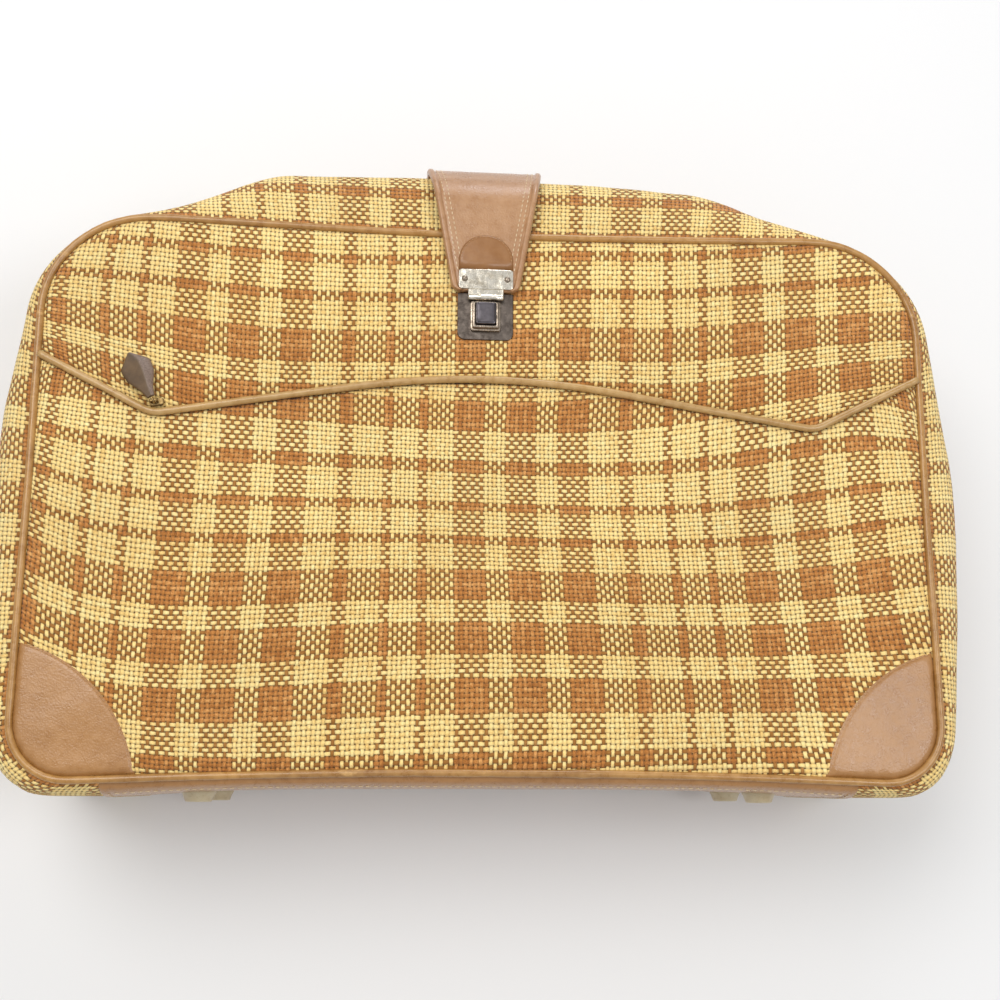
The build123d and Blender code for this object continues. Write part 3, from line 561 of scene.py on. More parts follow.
def gridFaces(rows, columns, wrapRows=False, wrapColumns=False):
    faces = []
    for r in range(rows if wrapRows else rows - 1):
        for c in range(columns if wrapColumns else columns - 1):
            a, b = r * columns + c, r * columns + (c + 1) % columns
            d, e = (r + 1) % rows * columns + c, (r + 1) % rows * columns + (c + 1) % columns
            faces.append((a, b, e, d))
    return faces


def addGrid(name, grid, finish, uv=None, wrapRows=False, wrapColumns=False, caps=False, sharp=None):
    rows, columns = grid.shape[:2]
    faces = gridFaces(rows, columns, wrapRows, wrapColumns)
    if caps:
        faces += [list(range(columns))[::-1], [(rows - 1) * columns + c for c in range(columns)]]
    flatUv = None if uv is None else uv.reshape(-1, 2)
    return addMesh(name, grid.reshape(-1, 3), faces, finish, flatUv, sharp)


# Sections (offset along the normal, offset along the plane's axis) carried along a flat path
def sweepGrid(path, axis, sections):
    axis = np.array(axis, float)
    normal = np.cross(unitRows(np.gradient(path, axis=0)), axis)
    grid = []
    for k, point in enumerate(path):
        section = sections[k] if isinstance(sections, list) else sections
        grid.append(point + section[:, :1] * normal[k] + section[:, 1:2] * axis)
    return np.array(grid)


def circle(radius, count):
    angle = turns(count)
    return np.stack([radius * np.cos(angle), radius * np.sin(angle)], 1)


def roundedBox(width, height, radius, count=5):
    points = []
    for quarter, (sx, sy) in enumerate([(1, 1), (-1, 1), (-1, -1), (1, -1)]):
        for k in range(count + 1):
            angle = math.pi / 2 * (quarter + k / count)
            points.append((sx * (width / 2 - radius) + radius * math.cos(angle),
                           sy * (height / 2 - radius) + radius * math.sin(angle)))
    return np.array(points)


def insideLoop(points, loop):
    inside = np.zeros(len(points), bool)
    for (x0, y0), (x1, y1) in zip(loop, np.roll(loop, -1, axis=0)):
        crosses = (y0 > points[:, 1]) != (y1 > points[:, 1])
        if y1 != y0:
            inside ^= crosses & (points[:, 0] < (x1 - x0) * (points[:, 1] - y0) / (y1 - y0) + x0)
    return inside


def edgeDistance(points, loop):
    best = np.full(len(points), 1e9)
    for a, b in zip(loop, np.roll(loop, -1, axis=0)):
        ab = b - a
        t = np.clip(((points - a) @ ab) / max(ab @ ab, 1e-9), 0, 1)
        best = np.minimum(best, np.linalg.norm(points - a - t[:, None] * ab, axis=1))
    return best


# A flat loop filled with even triangles and closer rows along its edge
def fillLoop(loop, spacing, rows=(0.8, 1.8, 3.2)):
    low, high = loop.min(0), loop.max(0)
    xs = np.arange(low[0], high[0], spacing)
    ys = np.arange(low[1], high[1], spacing * 0.866)
    points = np.array([(x + (spacing / 2 if k % 2 else 0), y) for k, y in enumerate(ys) for x in xs])
    points = points[insideLoop(points, loop)]
    points = points[edgeDistance(points, loop) > (rows[-1] if rows else 0) + spacing * 0.55]
    normal = outwards(loop)
    if (np.cross(loop, np.roll(loop, -1, axis=0))).sum() < 0:
        normal = -normal
    near = []
    for depth in rows:
        inner = loop - normal * depth
        inner = inner[insideLoop(inner, loop)]
        near.append(inner[edgeDistance(inner, loop) > depth * 0.93])
    every = np.vstack([loop] + near + [points])
    count = len(loop)
    edges = [(k, (k + 1) % count) for k in range(count)]
    made = delaunay_2d_cdt([Vector(p) for p in every], edges, [], 1, 1e-5)
    return np.array([tuple(p) for p in made[0]]), [tuple(f) for f in made[2]]


def addSheet(name, loop, spacing, height, finish, counted=None, rows=(0.8, 1.8, 3.2)):
    flat, faces = fillLoop(loop, spacing, rows)
    points = np.column_stack([flat, height(flat, edgeDistance(flat, loop))])
    uv = None if counted is None else counted(flat)
    return addMesh(name, points, faces, finish, uv)


def faceUp(obj, direction):
    total = Vector((0, 0, 0))
    for face in obj.data.polygons:
        total += face.normal * face.area
    if total.dot(Vector(direction)) < 0:
        obj.data.flip_normals()


def thicken(obj, thickness):
    wall = obj.modifiers.new("wall", "SOLIDIFY")
    wall.thickness, wall.offset = thickness * mm, -1.0
    wall.use_even_offset = True
    return obj


def softEdge(obj, width, segments=3, angle=35.0):
    bevel = obj.modifiers.new("edge", "BEVEL")
    bevel.width, bevel.segments, bevel.limit_method = width * mm, segments, "ANGLE"
    bevel.angle_limit = math.radians(angle)
    return obj


def applyAll(obj):
    bpy.context.view_layer.update()
    made = bpy.data.meshes.new_from_object(obj.evaluated_get(bpy.context.evaluated_depsgraph_get()))
    obj.modifiers.clear()
    obj.data = made
    return obj


def joined(name, parts):
    shape = bmesh.new()
    for part in parts:
        applyAll(part)
        shape.from_mesh(part.data)
    mesh = bpy.data.meshes.new(name)
    shape.to_mesh(mesh)
    shape.free()
    mesh.materials.append(parts[0].data.materials[0])
    for part in parts:
        bpy.data.objects.remove(part)
    return addObject(name, mesh)


def placed(obj, matrix):
    obj.data.transform(matrix)
    return obj


# The strap and lock are drawn about x = 0, then set on their own line
def onLockLine(obj):
    return placed(obj, Matrix.Translation((case["lockX"] * mm, 0, 0)))


def done(obj, body, slot, *nodes):
    obj.data.name = obj.name
    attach(obj, body)
    if nodes:
        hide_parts(*nodes)
    return obj


# Cloth given a wall thickness and set on its body in place of its CAD node
def stretchedCloth(obj, thickness, body, slot, node, size):
    thicken(obj, thickness)
    done(obj, body, slot, node)


# A loop given in X and Y, raised between two levels
def addPrism(name, loop, low, high, finish, edge=0.2, segments=3):
    count = len(loop)
    points = np.vstack([np.column_stack([loop, np.full(count, low)]), np.column_stack([loop, np.full(count, high)])])
    faces = [list(range(count))[::-1], [count + k for k in range(count)]]
    faces += [(k, (k + 1) % count, count + (k + 1) % count, count + k) for k in range(count)]
    obj = addMesh(name, points, faces, finish, sharp=40)
    return softEdge(obj, edge, segments) if edge else obj


# A turned shape about Z from (radius, height) points
def turnedGrid(profile, count):
    return np.array([[(r * math.cos(a), r * math.sin(a), z) for a in turns(count)] for r, z in profile])


def addTurned(name, profile, finish, count, sharp):
    return addGrid(name, turnedGrid(profile, count), finish, wrapColumns=True, caps=True, sharp=sharp)


# Geometry Nodes: one small piece repeated along curves, such as stitches or zip teeth
def repeatTree(name, kind):
    tree = bpy.data.node_groups.new(name, "GeometryNodeTree")
    tree.interface.new_socket("Geometry", in_out="INPUT", socket_type="NodeSocketGeometry")
    for label, value in (("Spacing", 0.004), ("Length", 0.003), ("Width", 0.0006), ("Height", 0.0006)):
        socket = tree.interface.new_socket(label, in_out="INPUT", socket_type="NodeSocketFloat")
        socket.default_value = value
    tree.interface.new_socket("Finish", in_out="INPUT", socket_type="NodeSocketMaterial")
    tree.interface.new_socket("Geometry", in_out="OUTPUT", socket_type="NodeSocketGeometry")
    new, link = tree.nodes.new, tree.links.new
    source, result = new("NodeGroupInput"), new("NodeGroupOutput")
    points = new("GeometryNodeResampleCurve")
    points.mode = "LENGTH"
    size = new("ShaderNodeCombineXYZ")
    if kind == "stitch":
        piece = new("GeometryNodeMeshUVSphere")
        piece.inputs["Segments"].default_value = 8
        piece.inputs["Rings"].default_value = 5
        piece.inputs["Radius"].default_value = 0.5
    else:
        piece = new("GeometryNodeMeshCube")
        piece.inputs["Size"].default_value = (1.0, 1.0, 1.0)
    copies, turn = new("GeometryNodeInstanceOnPoints"), new("FunctionNodeAlignRotationToVector")
    turn.axis = "X"
    tangent, real = new("GeometryNodeInputTangent"), new("GeometryNodeRealizeInstances")
    paint, smooth = new("GeometryNodeSetMaterial"), new("GeometryNodeSetShadeSmooth")
    smooth.inputs["Shade Smooth"].default_value = kind == "stitch"
    link(source.outputs["Geometry"], points.inputs["Curve"])
    link(source.outputs["Spacing"], points.inputs["Length"])
    for label, axis in (("Length", "X"), ("Width", "Y"), ("Height", "Z")):
        link(source.outputs[label], size.inputs[axis])
    link(points.outputs["Curve"], copies.inputs["Points"])
    link(piece.outputs["Mesh"], copies.inputs["Instance"])
    link(size.outputs["Vector"], copies.inputs["Scale"])
    link(tangent.outputs["Tangent"], turn.inputs["Vector"])
    link(turn.outputs["Rotation"], copies.inputs["Rotation"])
    link(copies.outputs["Instances"], smooth.inputs["Geometry"])
    link(smooth.outputs["Geometry"], real.inputs["Geometry"])
    link(real.outputs["Geometry"], paint.inputs["Geometry"])
    link(source.outputs["Finish"], paint.inputs["Material"])
    link(paint.outputs["Geometry"], result.inputs["Geometry"])
    return tree


stitchTree, toothTree = repeatTree("stitchRow", "stitch"), repeatTree("toothRow", "tooth")


def repeated(name, tree, paths, finish, spacing, length, width, height):
    curve = bpy.data.curves.new(name + "Path", "CURVE")
    curve.dimensions = "3D"
    for path in paths:
        spline = curve.splines.new("POLY")
        spline.points.add(len(path) - 1)
        spline.points.foreach_set("co", np.column_stack([np.asarray(path) * mm, np.ones(len(path))]).ravel())
    holder = addObject(name + "Path", curve)
    modifier = holder.modifiers.new("row", "NODES")
    modifier.node_group = tree
    values = {"Spacing": spacing * mm, "Length": length * mm, "Width": width * mm, "Height": height * mm,
              "Finish": finish}
    for item in tree.interface.items_tree:
        if item.in_out == "INPUT" and item.name in values:
            modifier[item.identifier] = values[item.name]
    bpy.context.view_layer.update()
    ready = holder.evaluated_get(bpy.context.evaluated_depsgraph_get())
    mesh = bpy.data.meshes.new_from_object(ready)
    obj = addObject(name, mesh)
    bpy.data.objects.remove(holder)
    bpy.data.curves.remove(curve)
    return obj


# Gusset: a strip that bulges between the two rows of piping
gusset = {"wall": 1.8, "edgeDepth": 2.4, "fullDepth": 24.0, "power": 2.9, "tuck": 2.2, "rowPitch": 2.45,
          "firstRow": 45.3, "ripple": 0.9, "slotHalf": 9.4}
columnRuns = (64, 176, 176, 64)


# A ring cut evenly between the middle of the base, the lower corners and the middle of the ridge
def matchedRing(share):
    loop = outlineRing(share)
    loop = evenSteps(np.vstack([loop, loop[:1]]), 0.5)
    top = np.argmin(np.abs(loop[:, 0]) + 999 * (loop[:, 1] < 0))
    marks = [0, np.argmax(loop[:, 0] - loop[:, 1]), top, np.argmin(loop[:, 0] + loop[:, 1]), len(loop) - 1]
    points = []
    for start, end, count in zip(marks, marks[1:], columnRuns):
        at = np.linspace(start, end, count, endpoint=False)
        points.append(np.column_stack([np.interp(at, range(len(loop)), loop[:, k]) for k in (0, 1)]))
    return np.vstack(points)


rimFlat, rimFull = matchedRing(0), matchedRing(1)
rimOut = outwards(rimFlat)
rimAt = (ringLength(rimFlat) + ringLength(rimFull)) / 2
columnCount = len(rimFlat)


# In front of the zip the ridge has sunk, most at its two corners, and the base hangs at its ends
ridgeSunk = {"x": [-175, -160, -142, -120, -105, -80, -40, 0, 45, 75, 100, 115, 132, 150, 168],
             "by": [0, 2.5, 4.8, 5.7, 3.8, 2.3, 1.6, 1.3, 1.7, 3.2, 5.0, 6.0, 5.0, 1.4, 0]}


def softened(points, z):
    x, y = points[:, 0], points[:, 1]
    sunk = np.mean([np.interp(x + shift, ridgeSunk["x"], ridgeSunk["by"]) for shift in (-8, -4, 0, 4, 8)], axis=0)
    fall = sunk * smoothStep(y, 100, 140) * smoothStep(z, 75, 94)
    hang = case["cornerDrop"] * np.clip(np.abs(x) / 165, 0, 1) ** 4 * smoothStep(-y, 108, 131)
    return np.column_stack([x, y - fall - hang])


def gussetPoints(columns, z, wrinkle=1.0):
    columns = columns % columnCount
    depth = np.minimum(z, case["depth"] - z)
    t = np.clip((depth - 3.4) / (gusset["fullDepth"] - 3.4), 0, 1)
    share = np.sqrt(1 - (1 - t) ** gusset["power"])
    tuck = gusset["tuck"] * np.clip((3.6 - depth) / 1.2, 0, 1)
    full = softened(rimFull[columns], z)
    flat = settled(rimFlat[columns]) * (1 - share)[:, None] + full * share[:, None]
    flat = flat - rimOut[columns] * tuck[:, None]
    points = np.column_stack([flat, z])
    swell = (ripple(points, 46.0, 3.1) + 0.5 * ripple(points, 19.0, 8.7)) * gusset["ripple"] * wrinkle
    swell = swell * smoothStep(depth, 4.0, 14.0) * smoothStep(flat[:, 1], case["baseY"] + 1, case["baseY"] + 14)
    zipHeld = smoothStep(np.abs(z - case["zipHeight"]), 9.0, 20.0)
    zipHeld = np.where(flat[:, 1] > case["zipEndY"] - 12, zipHeld, 1.0)
    points[:, :2] += rimOut[columns] * (swell * zipHeld)[:, None]
    return points


# The fold runs from the zip's end up to the hinge line, and the zip's slot lies between the tapes
def foldHeight(y):
    t = (y - case["hingeY"]) / (case["zipEndY"] - case["hingeY"])
    return case["hingeZ"] + (case["zipHeight"] - case["hingeZ"]) * np.clip(t, -0.2, 1)


def gussetGrid(low, high, rows, crowd):
    grid, uv = [], []
    full = np.arange(columnCount + 1)
    levels = np.linspace(case["depth"] - gusset["edgeDepth"], gusset["edgeDepth"], 160)
    profile = np.array([gussetPoints(full, np.full(columnCount + 1, z), 0.0) for z in levels])
    steps = np.linalg.norm(np.diff(profile, axis=0), axis=2)
    runs = np.vstack([np.zeros(columnCount + 1), np.cumsum(steps, axis=0)])
    for r in range(rows + 1):
        share = r / rows
        share = 1 - (1 - share) ** crowd if crowd > 0 else share ** -crowd
        z = low + (high - low) * share
        grid.append(gussetPoints(full, z))
        lengths = np.array([np.interp(-z[c], -levels, runs[:, c]) for c in full])
        uv.append(np.column_stack([rimAt[full] / yarn["pitch"], gusset["firstRow"] - lengths / gusset["rowPitch"]]))
    return np.array(grid), np.array(uv)


def gussetSheet(name, low, high, rows, crowd):
    grid, uv = gussetGrid(low, high, rows, crowd)
    faces = gridFaces(rows + 1, columnCount + 1)
    tall = (high - low) > 0.02
    faces = [f for f in faces if tall[f[0] % (columnCount + 1)] or tall[f[1] % (columnCount + 1)]]
    obj = addMesh(name, grid.reshape(-1, 3), faces, finishes["plaid_fabric"], uv.reshape(-1, 2))
    middle = Vector((0, 10, 58)) * mm
    total = sum((f.center - middle).normalized().dot(f.normal) * f.area for f in obj.data.polygons)
    if total < 0:
        obj.data.flip_normals()
    return obj


ringColumns = np.arange(columnCount + 1)
ringY = rimFull[ringColumns % columnCount][:, 1]
frontEdge = case["depth"] - gusset["edgeDepth"]
inFold = ringY < case["zipEndY"]
foldMiddle = foldHeight(ringY)
foldLow = np.where(inFold, np.minimum(foldMiddle - gusset["slotHalf"], frontEdge), 0)
foldHigh = np.where(inFold, np.minimum(foldMiddle + gusset["slotHalf"], frontEdge), 0)
slotLow = np.where(inFold, foldLow, case["zipHeight"] - gusset["slotHalf"])
slotHigh = np.where(inFold, foldHigh, case["zipHeight"] + gusset["slotHalf"])

frontGusset = gussetSheet("gusset_front", slotHigh, np.full(columnCount + 1, frontEdge), 22, 1.7)
rearGusset = gussetSheet("gusset_rear", np.full(columnCount + 1, gusset["edgeDepth"]), slotLow, 26, -1.7)
fold = gussetSheet("gusset_fold", foldLow, foldHigh, 10, 1.0)
stretchedCloth(frontGusset, gusset["wall"], "lid", "plaid_fabric", "front_gusset", (0.062, 1.05))
stretchedCloth(rearGusset, gusset["wall"], "body", "plaid_fabric", "rear_gusset", (0.116, 1.39))

thicken(fold, gusset["wall"])
fold.data.name = "gusset_fold"
applyAll(fold)
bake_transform(fold)
print("gussets made")


# Piping: a bead right round each panel, with a butt seam and a lapped end at the bottom
bead = {"radius": 1.65, "wobble": 0.10, "seamX": -31.0, "lapX": 41.0, "lapRise": 0.35, "step": 2.0}


def pipingBead(name, level, body, node):
    loop = settledRing(bead["radius"])
    path = evenSteps(np.vstack([loop, loop[:1]]), bead["step"])[:-1]
    path = np.column_stack([path, np.full(len(path), level)])
    path[:, :2] += ripple(path, 60.0, 5.0)[:, None] * 0.25
    sections = []
    bottom = path[:, 1] < -case["halfHeight"] + 8
    swell = 1 + bead["wobble"] * (ripple(path, 9.0, level) + 0.5 * ripple(path, 30.0, 2.0))
    lap = np.exp(-((path[:, 0] - bead["lapX"]) / 5.0) ** 2) * bottom * bead["lapRise"]
    seam = np.exp(-((path[:, 0] - bead["seamX"]) / 0.9) ** 2) * bottom * 0.45
    for k in range(len(path)):
        sections.append(circle(bead["radius"] * swell[k] + lap[k] - seam[k], 18))
    along = unitRows(np.roll(path, -1, axis=0) - np.roll(path, 1, axis=0))
    normal = np.cross(along, (0, 0, 1))
    grid = np.array([path[k] + sections[k][:, :1] * normal[k] + sections[k][:, 1:] * np.array((0, 0, 1))
                     for k in range(len(path))])
    obj = addGrid(name, grid, finishes["piping_vinyl"], wrapRows=True, wrapColumns=True)
    return done(obj, body, "piping_vinyl", node)


pipingBead("piping_front", case["hingeZ"], "lid", "front_piping")
pipingBead("piping_back", case["depth"] - case["hingeZ"], "body", "back_piping")

# Pocket line: low near both corners, high in the middle
pocket = {"endHeight": 190.5, "lowHeight": 162.2, "lowX": 152.0, "apexHeight": 187.4, "lowRadius": 14.0,
          "apexRadius": 380.0, "beadRadius": 1.7, "level": 115.6, "tuck": 1.1}


def pocketCorners(extra=0.0):
    end, low = pocket["endHeight"] - case["halfHeight"], pocket["lowHeight"] - case["halfHeight"]
    apex = pocket["apexHeight"] - case["halfHeight"]
    edge = case["widthHigh"] / 2 - 3.5 + extra
    slope = (end - low) / (case["widthHigh"] / 2 - pocket["lowX"])
    endY = low + (edge - pocket["lowX"]) * slope
    return [(-edge, endY), (-pocket["lowX"], low), (0, apex), (pocket["lowX"], low), (edge, endY)]


pocketPath = roundedPath(pocketCorners(12.0), [pocket["lowRadius"], pocket["apexRadius"], pocket["lowRadius"]], 2.0)


def pocketBead():
    keep = np.abs(pocketPath[:, 0]) < case["widthHigh"] / 2 - 3.2
    flat = pocketPath[keep]
    path = np.column_stack([flat, np.full(len(flat), pocket["level"])])
    path[:, 1] += ripple(path, 70.0, 12.0) * 0.5
    swell = 1 + 0.08 * ripple(path, 12.0, 4.0)
    sections = [circle(pocket["beadRadius"] * s, 16) for s in swell]
    obj = addGrid("pocket_piping", sweepGrid(path, (0, 0, 1), sections), finishes["pocket_vinyl"],
                  wrapColumns=True, caps=True)
    return done(obj, "lid", "piping_vinyl", "pocket_piping")


pocketBead()
print("piping made")

# Front fabric, parted along the pocket line, and the back fabric
panel = {"edgeInset": 2.9, "spacing": 4.6, "thickness": 1.5, "dip": 1.2, "crown": 0.7, "ripple": 0.9,
         "lineHalf": 203.7}


def frontLoops():
    outer = settledRing(panel["edgeInset"])
    lineY = np.interp(outer[:, 0], pocketPath[:, 0], pocketPath[:, 1])
    line = pocketPath[np.abs(pocketPath[:, 0]) < panel["lineHalf"]]
    upper = outer[outer[:, 1] > lineY + 2.0]
    upper = upper[np.argsort(np.arctan2(upper[:, 0], upper[:, 1] - 20))]  # left end to right end
    lower = outer[outer[:, 1] < lineY - 2.0]
    lower = lower[np.argsort(np.arctan2(lower[:, 0], -(lower[:, 1] + 20)))]
    upperLoop = np.vstack([upper, (line + (0, pocket["tuck"]))[::-1]])
    lowerLoop = np.vstack([lower, (line - (0, pocket["tuck"]))[::-1]])
    return upperLoop, lowerLoop


def frontHeight(flat, away):
    level = case["panelTop"] - panel["dip"] * (1 - smoothStep(away, 0.0, 3.2))
    points = np.column_stack([flat, np.zeros(len(flat))])
    soft = smoothStep(away, 4.0, 40.0)
    level = level + panel["crown"] * soft
    level = level + panel["ripple"] * soft * (ripple(points, 55.0, 1.0) + 0.5 * ripple(points, 22.0, 6.0))
    return level


# How far the old cloth has strayed from straight, in yarns, as Chebyshev terms across and up each panel
stray = {
    "upperColumns": [[-0.15, -0.11, -0.57], [0.64, -1.0, 0.38], [-1.51, 0.13, -0.88],
                     [-0.45, -0.02, 0.21], [-0.27, -0.05, -0.36], [-0.12, -0.11, 0]],
    "upperRows": [[1.41, -2.36, 0.32], [-1.19, 2.1, -0.08], [2.38, -2.73, 0.97],
                  [-1.32, 1.17, -0.09], [1.05, -1.43, 0.59], [0.38, 0.59, 0]],
    "lowerColumns": [[-0.42, 1.59, -0.67, 0.07], [-1.67, 3.27, -0.85, 0.27], [-1.6, 1.49, -0.7, 0.37],
                     [-0.85, 0.94, -0.04, 0.53], [-0.3, 0.58, -0.12, 0], [-0.07, 0.65, 0, 0]],
    "lowerRows": [[1.54, 1.89, -0.21, 0.26], [0.26, 1.61, -0.39, 0.48], [2.32, 1.17, -0.37, -0.52],
                  [-1.08, 0.77, -0.53, -0.19], [0.25, -0.78, -1.07, 0], [-0.62, -0.08, 0, 0]],
    "halfWidth": 205.0, "upperMiddle": 80.0, "upperHalf": 50.0, "lowerMiddle": -40.0, "lowerHalf": 90.0,
}


def strayed(flat, part, rows):
    x = np.clip(flat[:, 0] / stray["halfWidth"], -1, 1)
    y = np.clip((flat[:, 1] - stray[part + "Middle"]) / stray[part + "Half"], -1.05, 1.1)
    columns = (flat[:, 0] + 7) / yarn["pitch"] + 3
    return np.column_stack([columns + np.polynomial.chebyshev.chebval2d(x, y, stray[part + "Columns"]),
                            rows + np.polynomial.chebyshev.chebval2d(x, y, stray[part + "Rows"])])


def upperYarns(flat):
    lifted = flat[:, 1] + 4 - 16 * smoothStep(flat[:, 0], 70, 200)
    rows = np.interp(-lifted, [-140, -119.6, -97, -72.3, -47, -20], [36.8, 44, 52, 61, 72, 84])
    return strayed(flat, "upper", rows)


def lowerYarns(flat):
    return strayed(flat, "lower", 25.5 + (35.6 - flat[:, 1]) / 2.24)


def backYarns(flat):
    return np.column_stack([(flat[:, 0] + 1) / yarn["pitch"] + 3, 25.5 + (35.6 - flat[:, 1]) / 2.24])


upperLoop, lowerLoop = frontLoops()
for name, loop, counted, size, node in (
        ("panel_upper", upperLoop, upperYarns, (0.410, 0.100), "front_panel"),
        ("panel_pocket", lowerLoop, lowerYarns, (0.408, 0.192), "pocket_panel")):
    face = addSheet(name, loop, panel["spacing"], frontHeight, finishes["plaid_fabric"], counted)
    faceUp(face, (0, 0, 1))
    stretchedCloth(face, panel["thickness"], "lid", "plaid_fabric", node, size)


def backHeight(flat, away):
    level = case["depth"] - case["panelTop"] + panel["dip"] * (1 - smoothStep(away, 0.0, 3.2))
    return level - 0.9 * smoothStep(away, 40.0, 62.0)


backLoop = settledRing(panel["edgeInset"])
back = addSheet("panel_back", backLoop, 6.0, backHeight, finishes["plaid_fabric"], backYarns)
faceUp(back, (0, 0, -1))
stretchedCloth(back, panel["thickness"], "body", "plaid_fabric", "back_panel", (0.408, 0.254))
print("panels made")

# Corner patches: smooth vinyl with a turned edge, stitched down
patch = {"width": 52.0, "height": 56.5, "belly": 11.5, "rise": 0.9, "stitchIn": 1.25, "spacing": 3.2}
stitchRows = {"lid": [], "body": [], "strap": [], "handle": []}


def patchLoop():
    cornerX, cornerY = case["widthLow"] / 2 - 3.5, -case["halfHeight"] + 3.5
    wide, high, belly = patch["width"], patch["height"], patch["belly"] / 2 ** 0.5
    start = np.array((cornerX - wide, cornerY - 0.4))
    middle = np.array((cornerX - wide / 2 - belly, cornerY + high / 2 + belly))
    end = np.array((cornerX + 1.6, cornerY + high))
    # Circle through the three points
    a, b = 2 * (middle - start), 2 * (end - start)
    c = np.array([middle @ middle - start @ start, end @ end - start @ start])
    centre = np.linalg.solve(np.array([a, b]), c)
    radius = np.linalg.norm(start - centre)
    angles = [math.atan2(*(p - centre)[::-1]) for p in (start, middle, end)]
    angles = np.unwrap(angles)
    sweep = np.linspace(angles[0], angles[2], 34)
    arc = centre + radius * np.column_stack([np.cos(sweep), np.sin(sweep)])
    outer = settledRing(panel["edgeInset"])
    corner = outer[(outer[:, 0] > cornerX - wide + 1) & (outer[:, 1] < cornerY + high - 1)]
    corner = corner[np.argsort(np.arctan2(corner[:, 1] - cornerY - 30, corner[:, 0] - cornerX + 30))]
    return np.vstack([arc, corner[::-1]]), centre, radius


patchOutline, patchCentre, patchRadius = patchLoop()


# The cloth under a patch, in front or behind
def clothLevel(flat, way):
    if way > 0:
        return frontHeight(flat, edgeDistance(flat, lowerLoop))
    return backHeight(flat, edgeDistance(flat, backLoop))


def patchSheet(name, side, way):
    loop = patchOutline * (side, 1)

    def height(flat, away):
        toArc = np.abs(np.linalg.norm(flat * (side, 1) - patchCentre, axis=1) - patchRadius)
        rolled = patch["rise"] * smoothStep(toArc, 0.0, 1.3) * smoothStep(away, 0.0, 1.6)
        groove = 0.3 * np.exp(-((toArc - abs(patch["stitchIn"])) / 0.6) ** 2)
        points = np.column_stack([flat, np.full(len(flat), side * 9.0)])
        dents = 0.45 * smoothStep(away, 3.0, 14.0) * (1.4 * ripple(points, 21.0, 2.0) + 0.5 * ripple(points, 8.0, 3.0))
        return clothLevel(flat, way) + way * (rolled - groove + dents - 0.1)

    obj = addSheet(name, loop, patch["spacing"], height, finishes["tan_vinyl"], rows=(0.5, 1.1, 1.8, 2.6, 3.4))
    faceUp(obj, (0, 0, way))
    return obj


def patchStitches(side, way):
    radius = patchRadius - patch["stitchIn"]
    offsets = patchOutline[:34] - patchCentre
    arc = patchCentre + offsets / np.linalg.norm(offsets, axis=1)[:, None] * radius
    arc = arc[2:-2] * (side, 1)
    return evenSteps(np.column_stack([arc, clothLevel(arc, way) + way * 0.62]), 1.0)


# Which side of the arc the patch lies on
if np.linalg.norm(np.array((case["widthLow"] / 2 - 20, -case["halfHeight"] + 20)) - patchCentre) > patchRadius:
    patch["stitchIn"] = -patch["stitchIn"]
for body, node, way in (("lid", "front_corner_patches", 1), ("body", "back_corner_patches", -1)):
    pair = [patchSheet(f"{node}_{side}", side, way) for side in (-1, 1)]
    both = joined(node.replace("corner_patches", "patches"), [thicken(p, 0.7) for p in pair])
    done(both, body, "tan_vinyl", node)
    for side in (-1, 1):
        stitchRows[body].append(patchStitches(side, way))
print("patches made")

# Base: a vinyl strip that covers the gusset from one piping to the other, and four riveted feet
base = {"half": 164.0, "edge": 3.0, "proud": 0.6, "binding": 5.0, "seam": 5.4}
bottomColumns = np.array([c for c in range(columnCount) if rimFull[c][1] < -120])
bottomColumns = bottomColumns[np.argsort(rimFull[bottomColumns][:, 0])]


def baseFace(xs, z):
    under = gussetPoints(bottomColumns, np.full(len(bottomColumns), z), 0.0)
    return np.interp(xs, under[:, 0], under[:, 1]) - base["proud"]


def basePanel():
    share = (1 - np.cos(np.linspace(0, math.pi, 64))) / 2
    zs = base["edge"] + (case["depth"] - 2 * base["edge"]) * share
    xs = np.concatenate([[-base["half"], -base["half"] + 0.5], np.linspace(-base["half"] + 1, base["half"] - 1, 165),
                         [base["half"] - 0.5, base["half"]]])
    end = base["half"] - np.abs(xs)
    grid = []
    for z in zs:
        sunk = 0.8 * (1 - smoothStep(end, 0.0, 1.0))
        sunk = sunk + 0.4 * np.exp(-((end - base["binding"]) / 0.7) ** 2)
        wave = [0.16 * noise.noise(Vector((x / 24, z / 14, 4.0))) + 0.1 * noise.noise(Vector((x / 6, z / 6, 1.0)))
                for x in xs]
        grid.append(np.column_stack([xs, baseFace(xs, z) + sunk + wave, np.full(len(xs), z)]))
    obj = addGrid("base_strip", np.array(grid), finishes["tan_vinyl"])
    faceUp(obj, (0, -1, 0))
    thicken(obj, 0.7)
    along = np.arange(9.0, 108.0, 1.0)
    for side in (-1, 1):
        x = np.full(1, side * (base["half"] - base["binding"] + 1.4))
        stitchRows["body"].append(np.array([(x[0], baseFace(x, z)[0] - 0.05, z) for z in along]))
    across = np.arange(-157.0, 158.0, 1.0)
    for z in (base["edge"] + base["seam"], case["depth"] - base["edge"] - base["seam"]):
        stitchRows["body"].append(np.column_stack([across, baseFace(across, z) - 0.05, np.full(len(across), z)]))
    return done(obj, "body", "tan_vinyl", "base_panel")


basePanel()

foot = {"spacing": 252.0, "depths": (29.0, 88.5), "facets": 40, "turn": 1.3}


def turnedFoot(name):
    profile = [(0.0, 3.0), (1.3, 3.0), (1.9, 3.2), (2.3, 3.9), (2.9, 4.15), (5.0, 4.2), (5.6, 4.05), (5.95, 3.7),
               (6.15, 3.2), (7.1, 0.7), (7.5, 0.35), (7.5, -1.4), (0.0, -1.4)]
    return addTurned(name, profile, finishes["foot_plastic"], foot["facets"], 60)


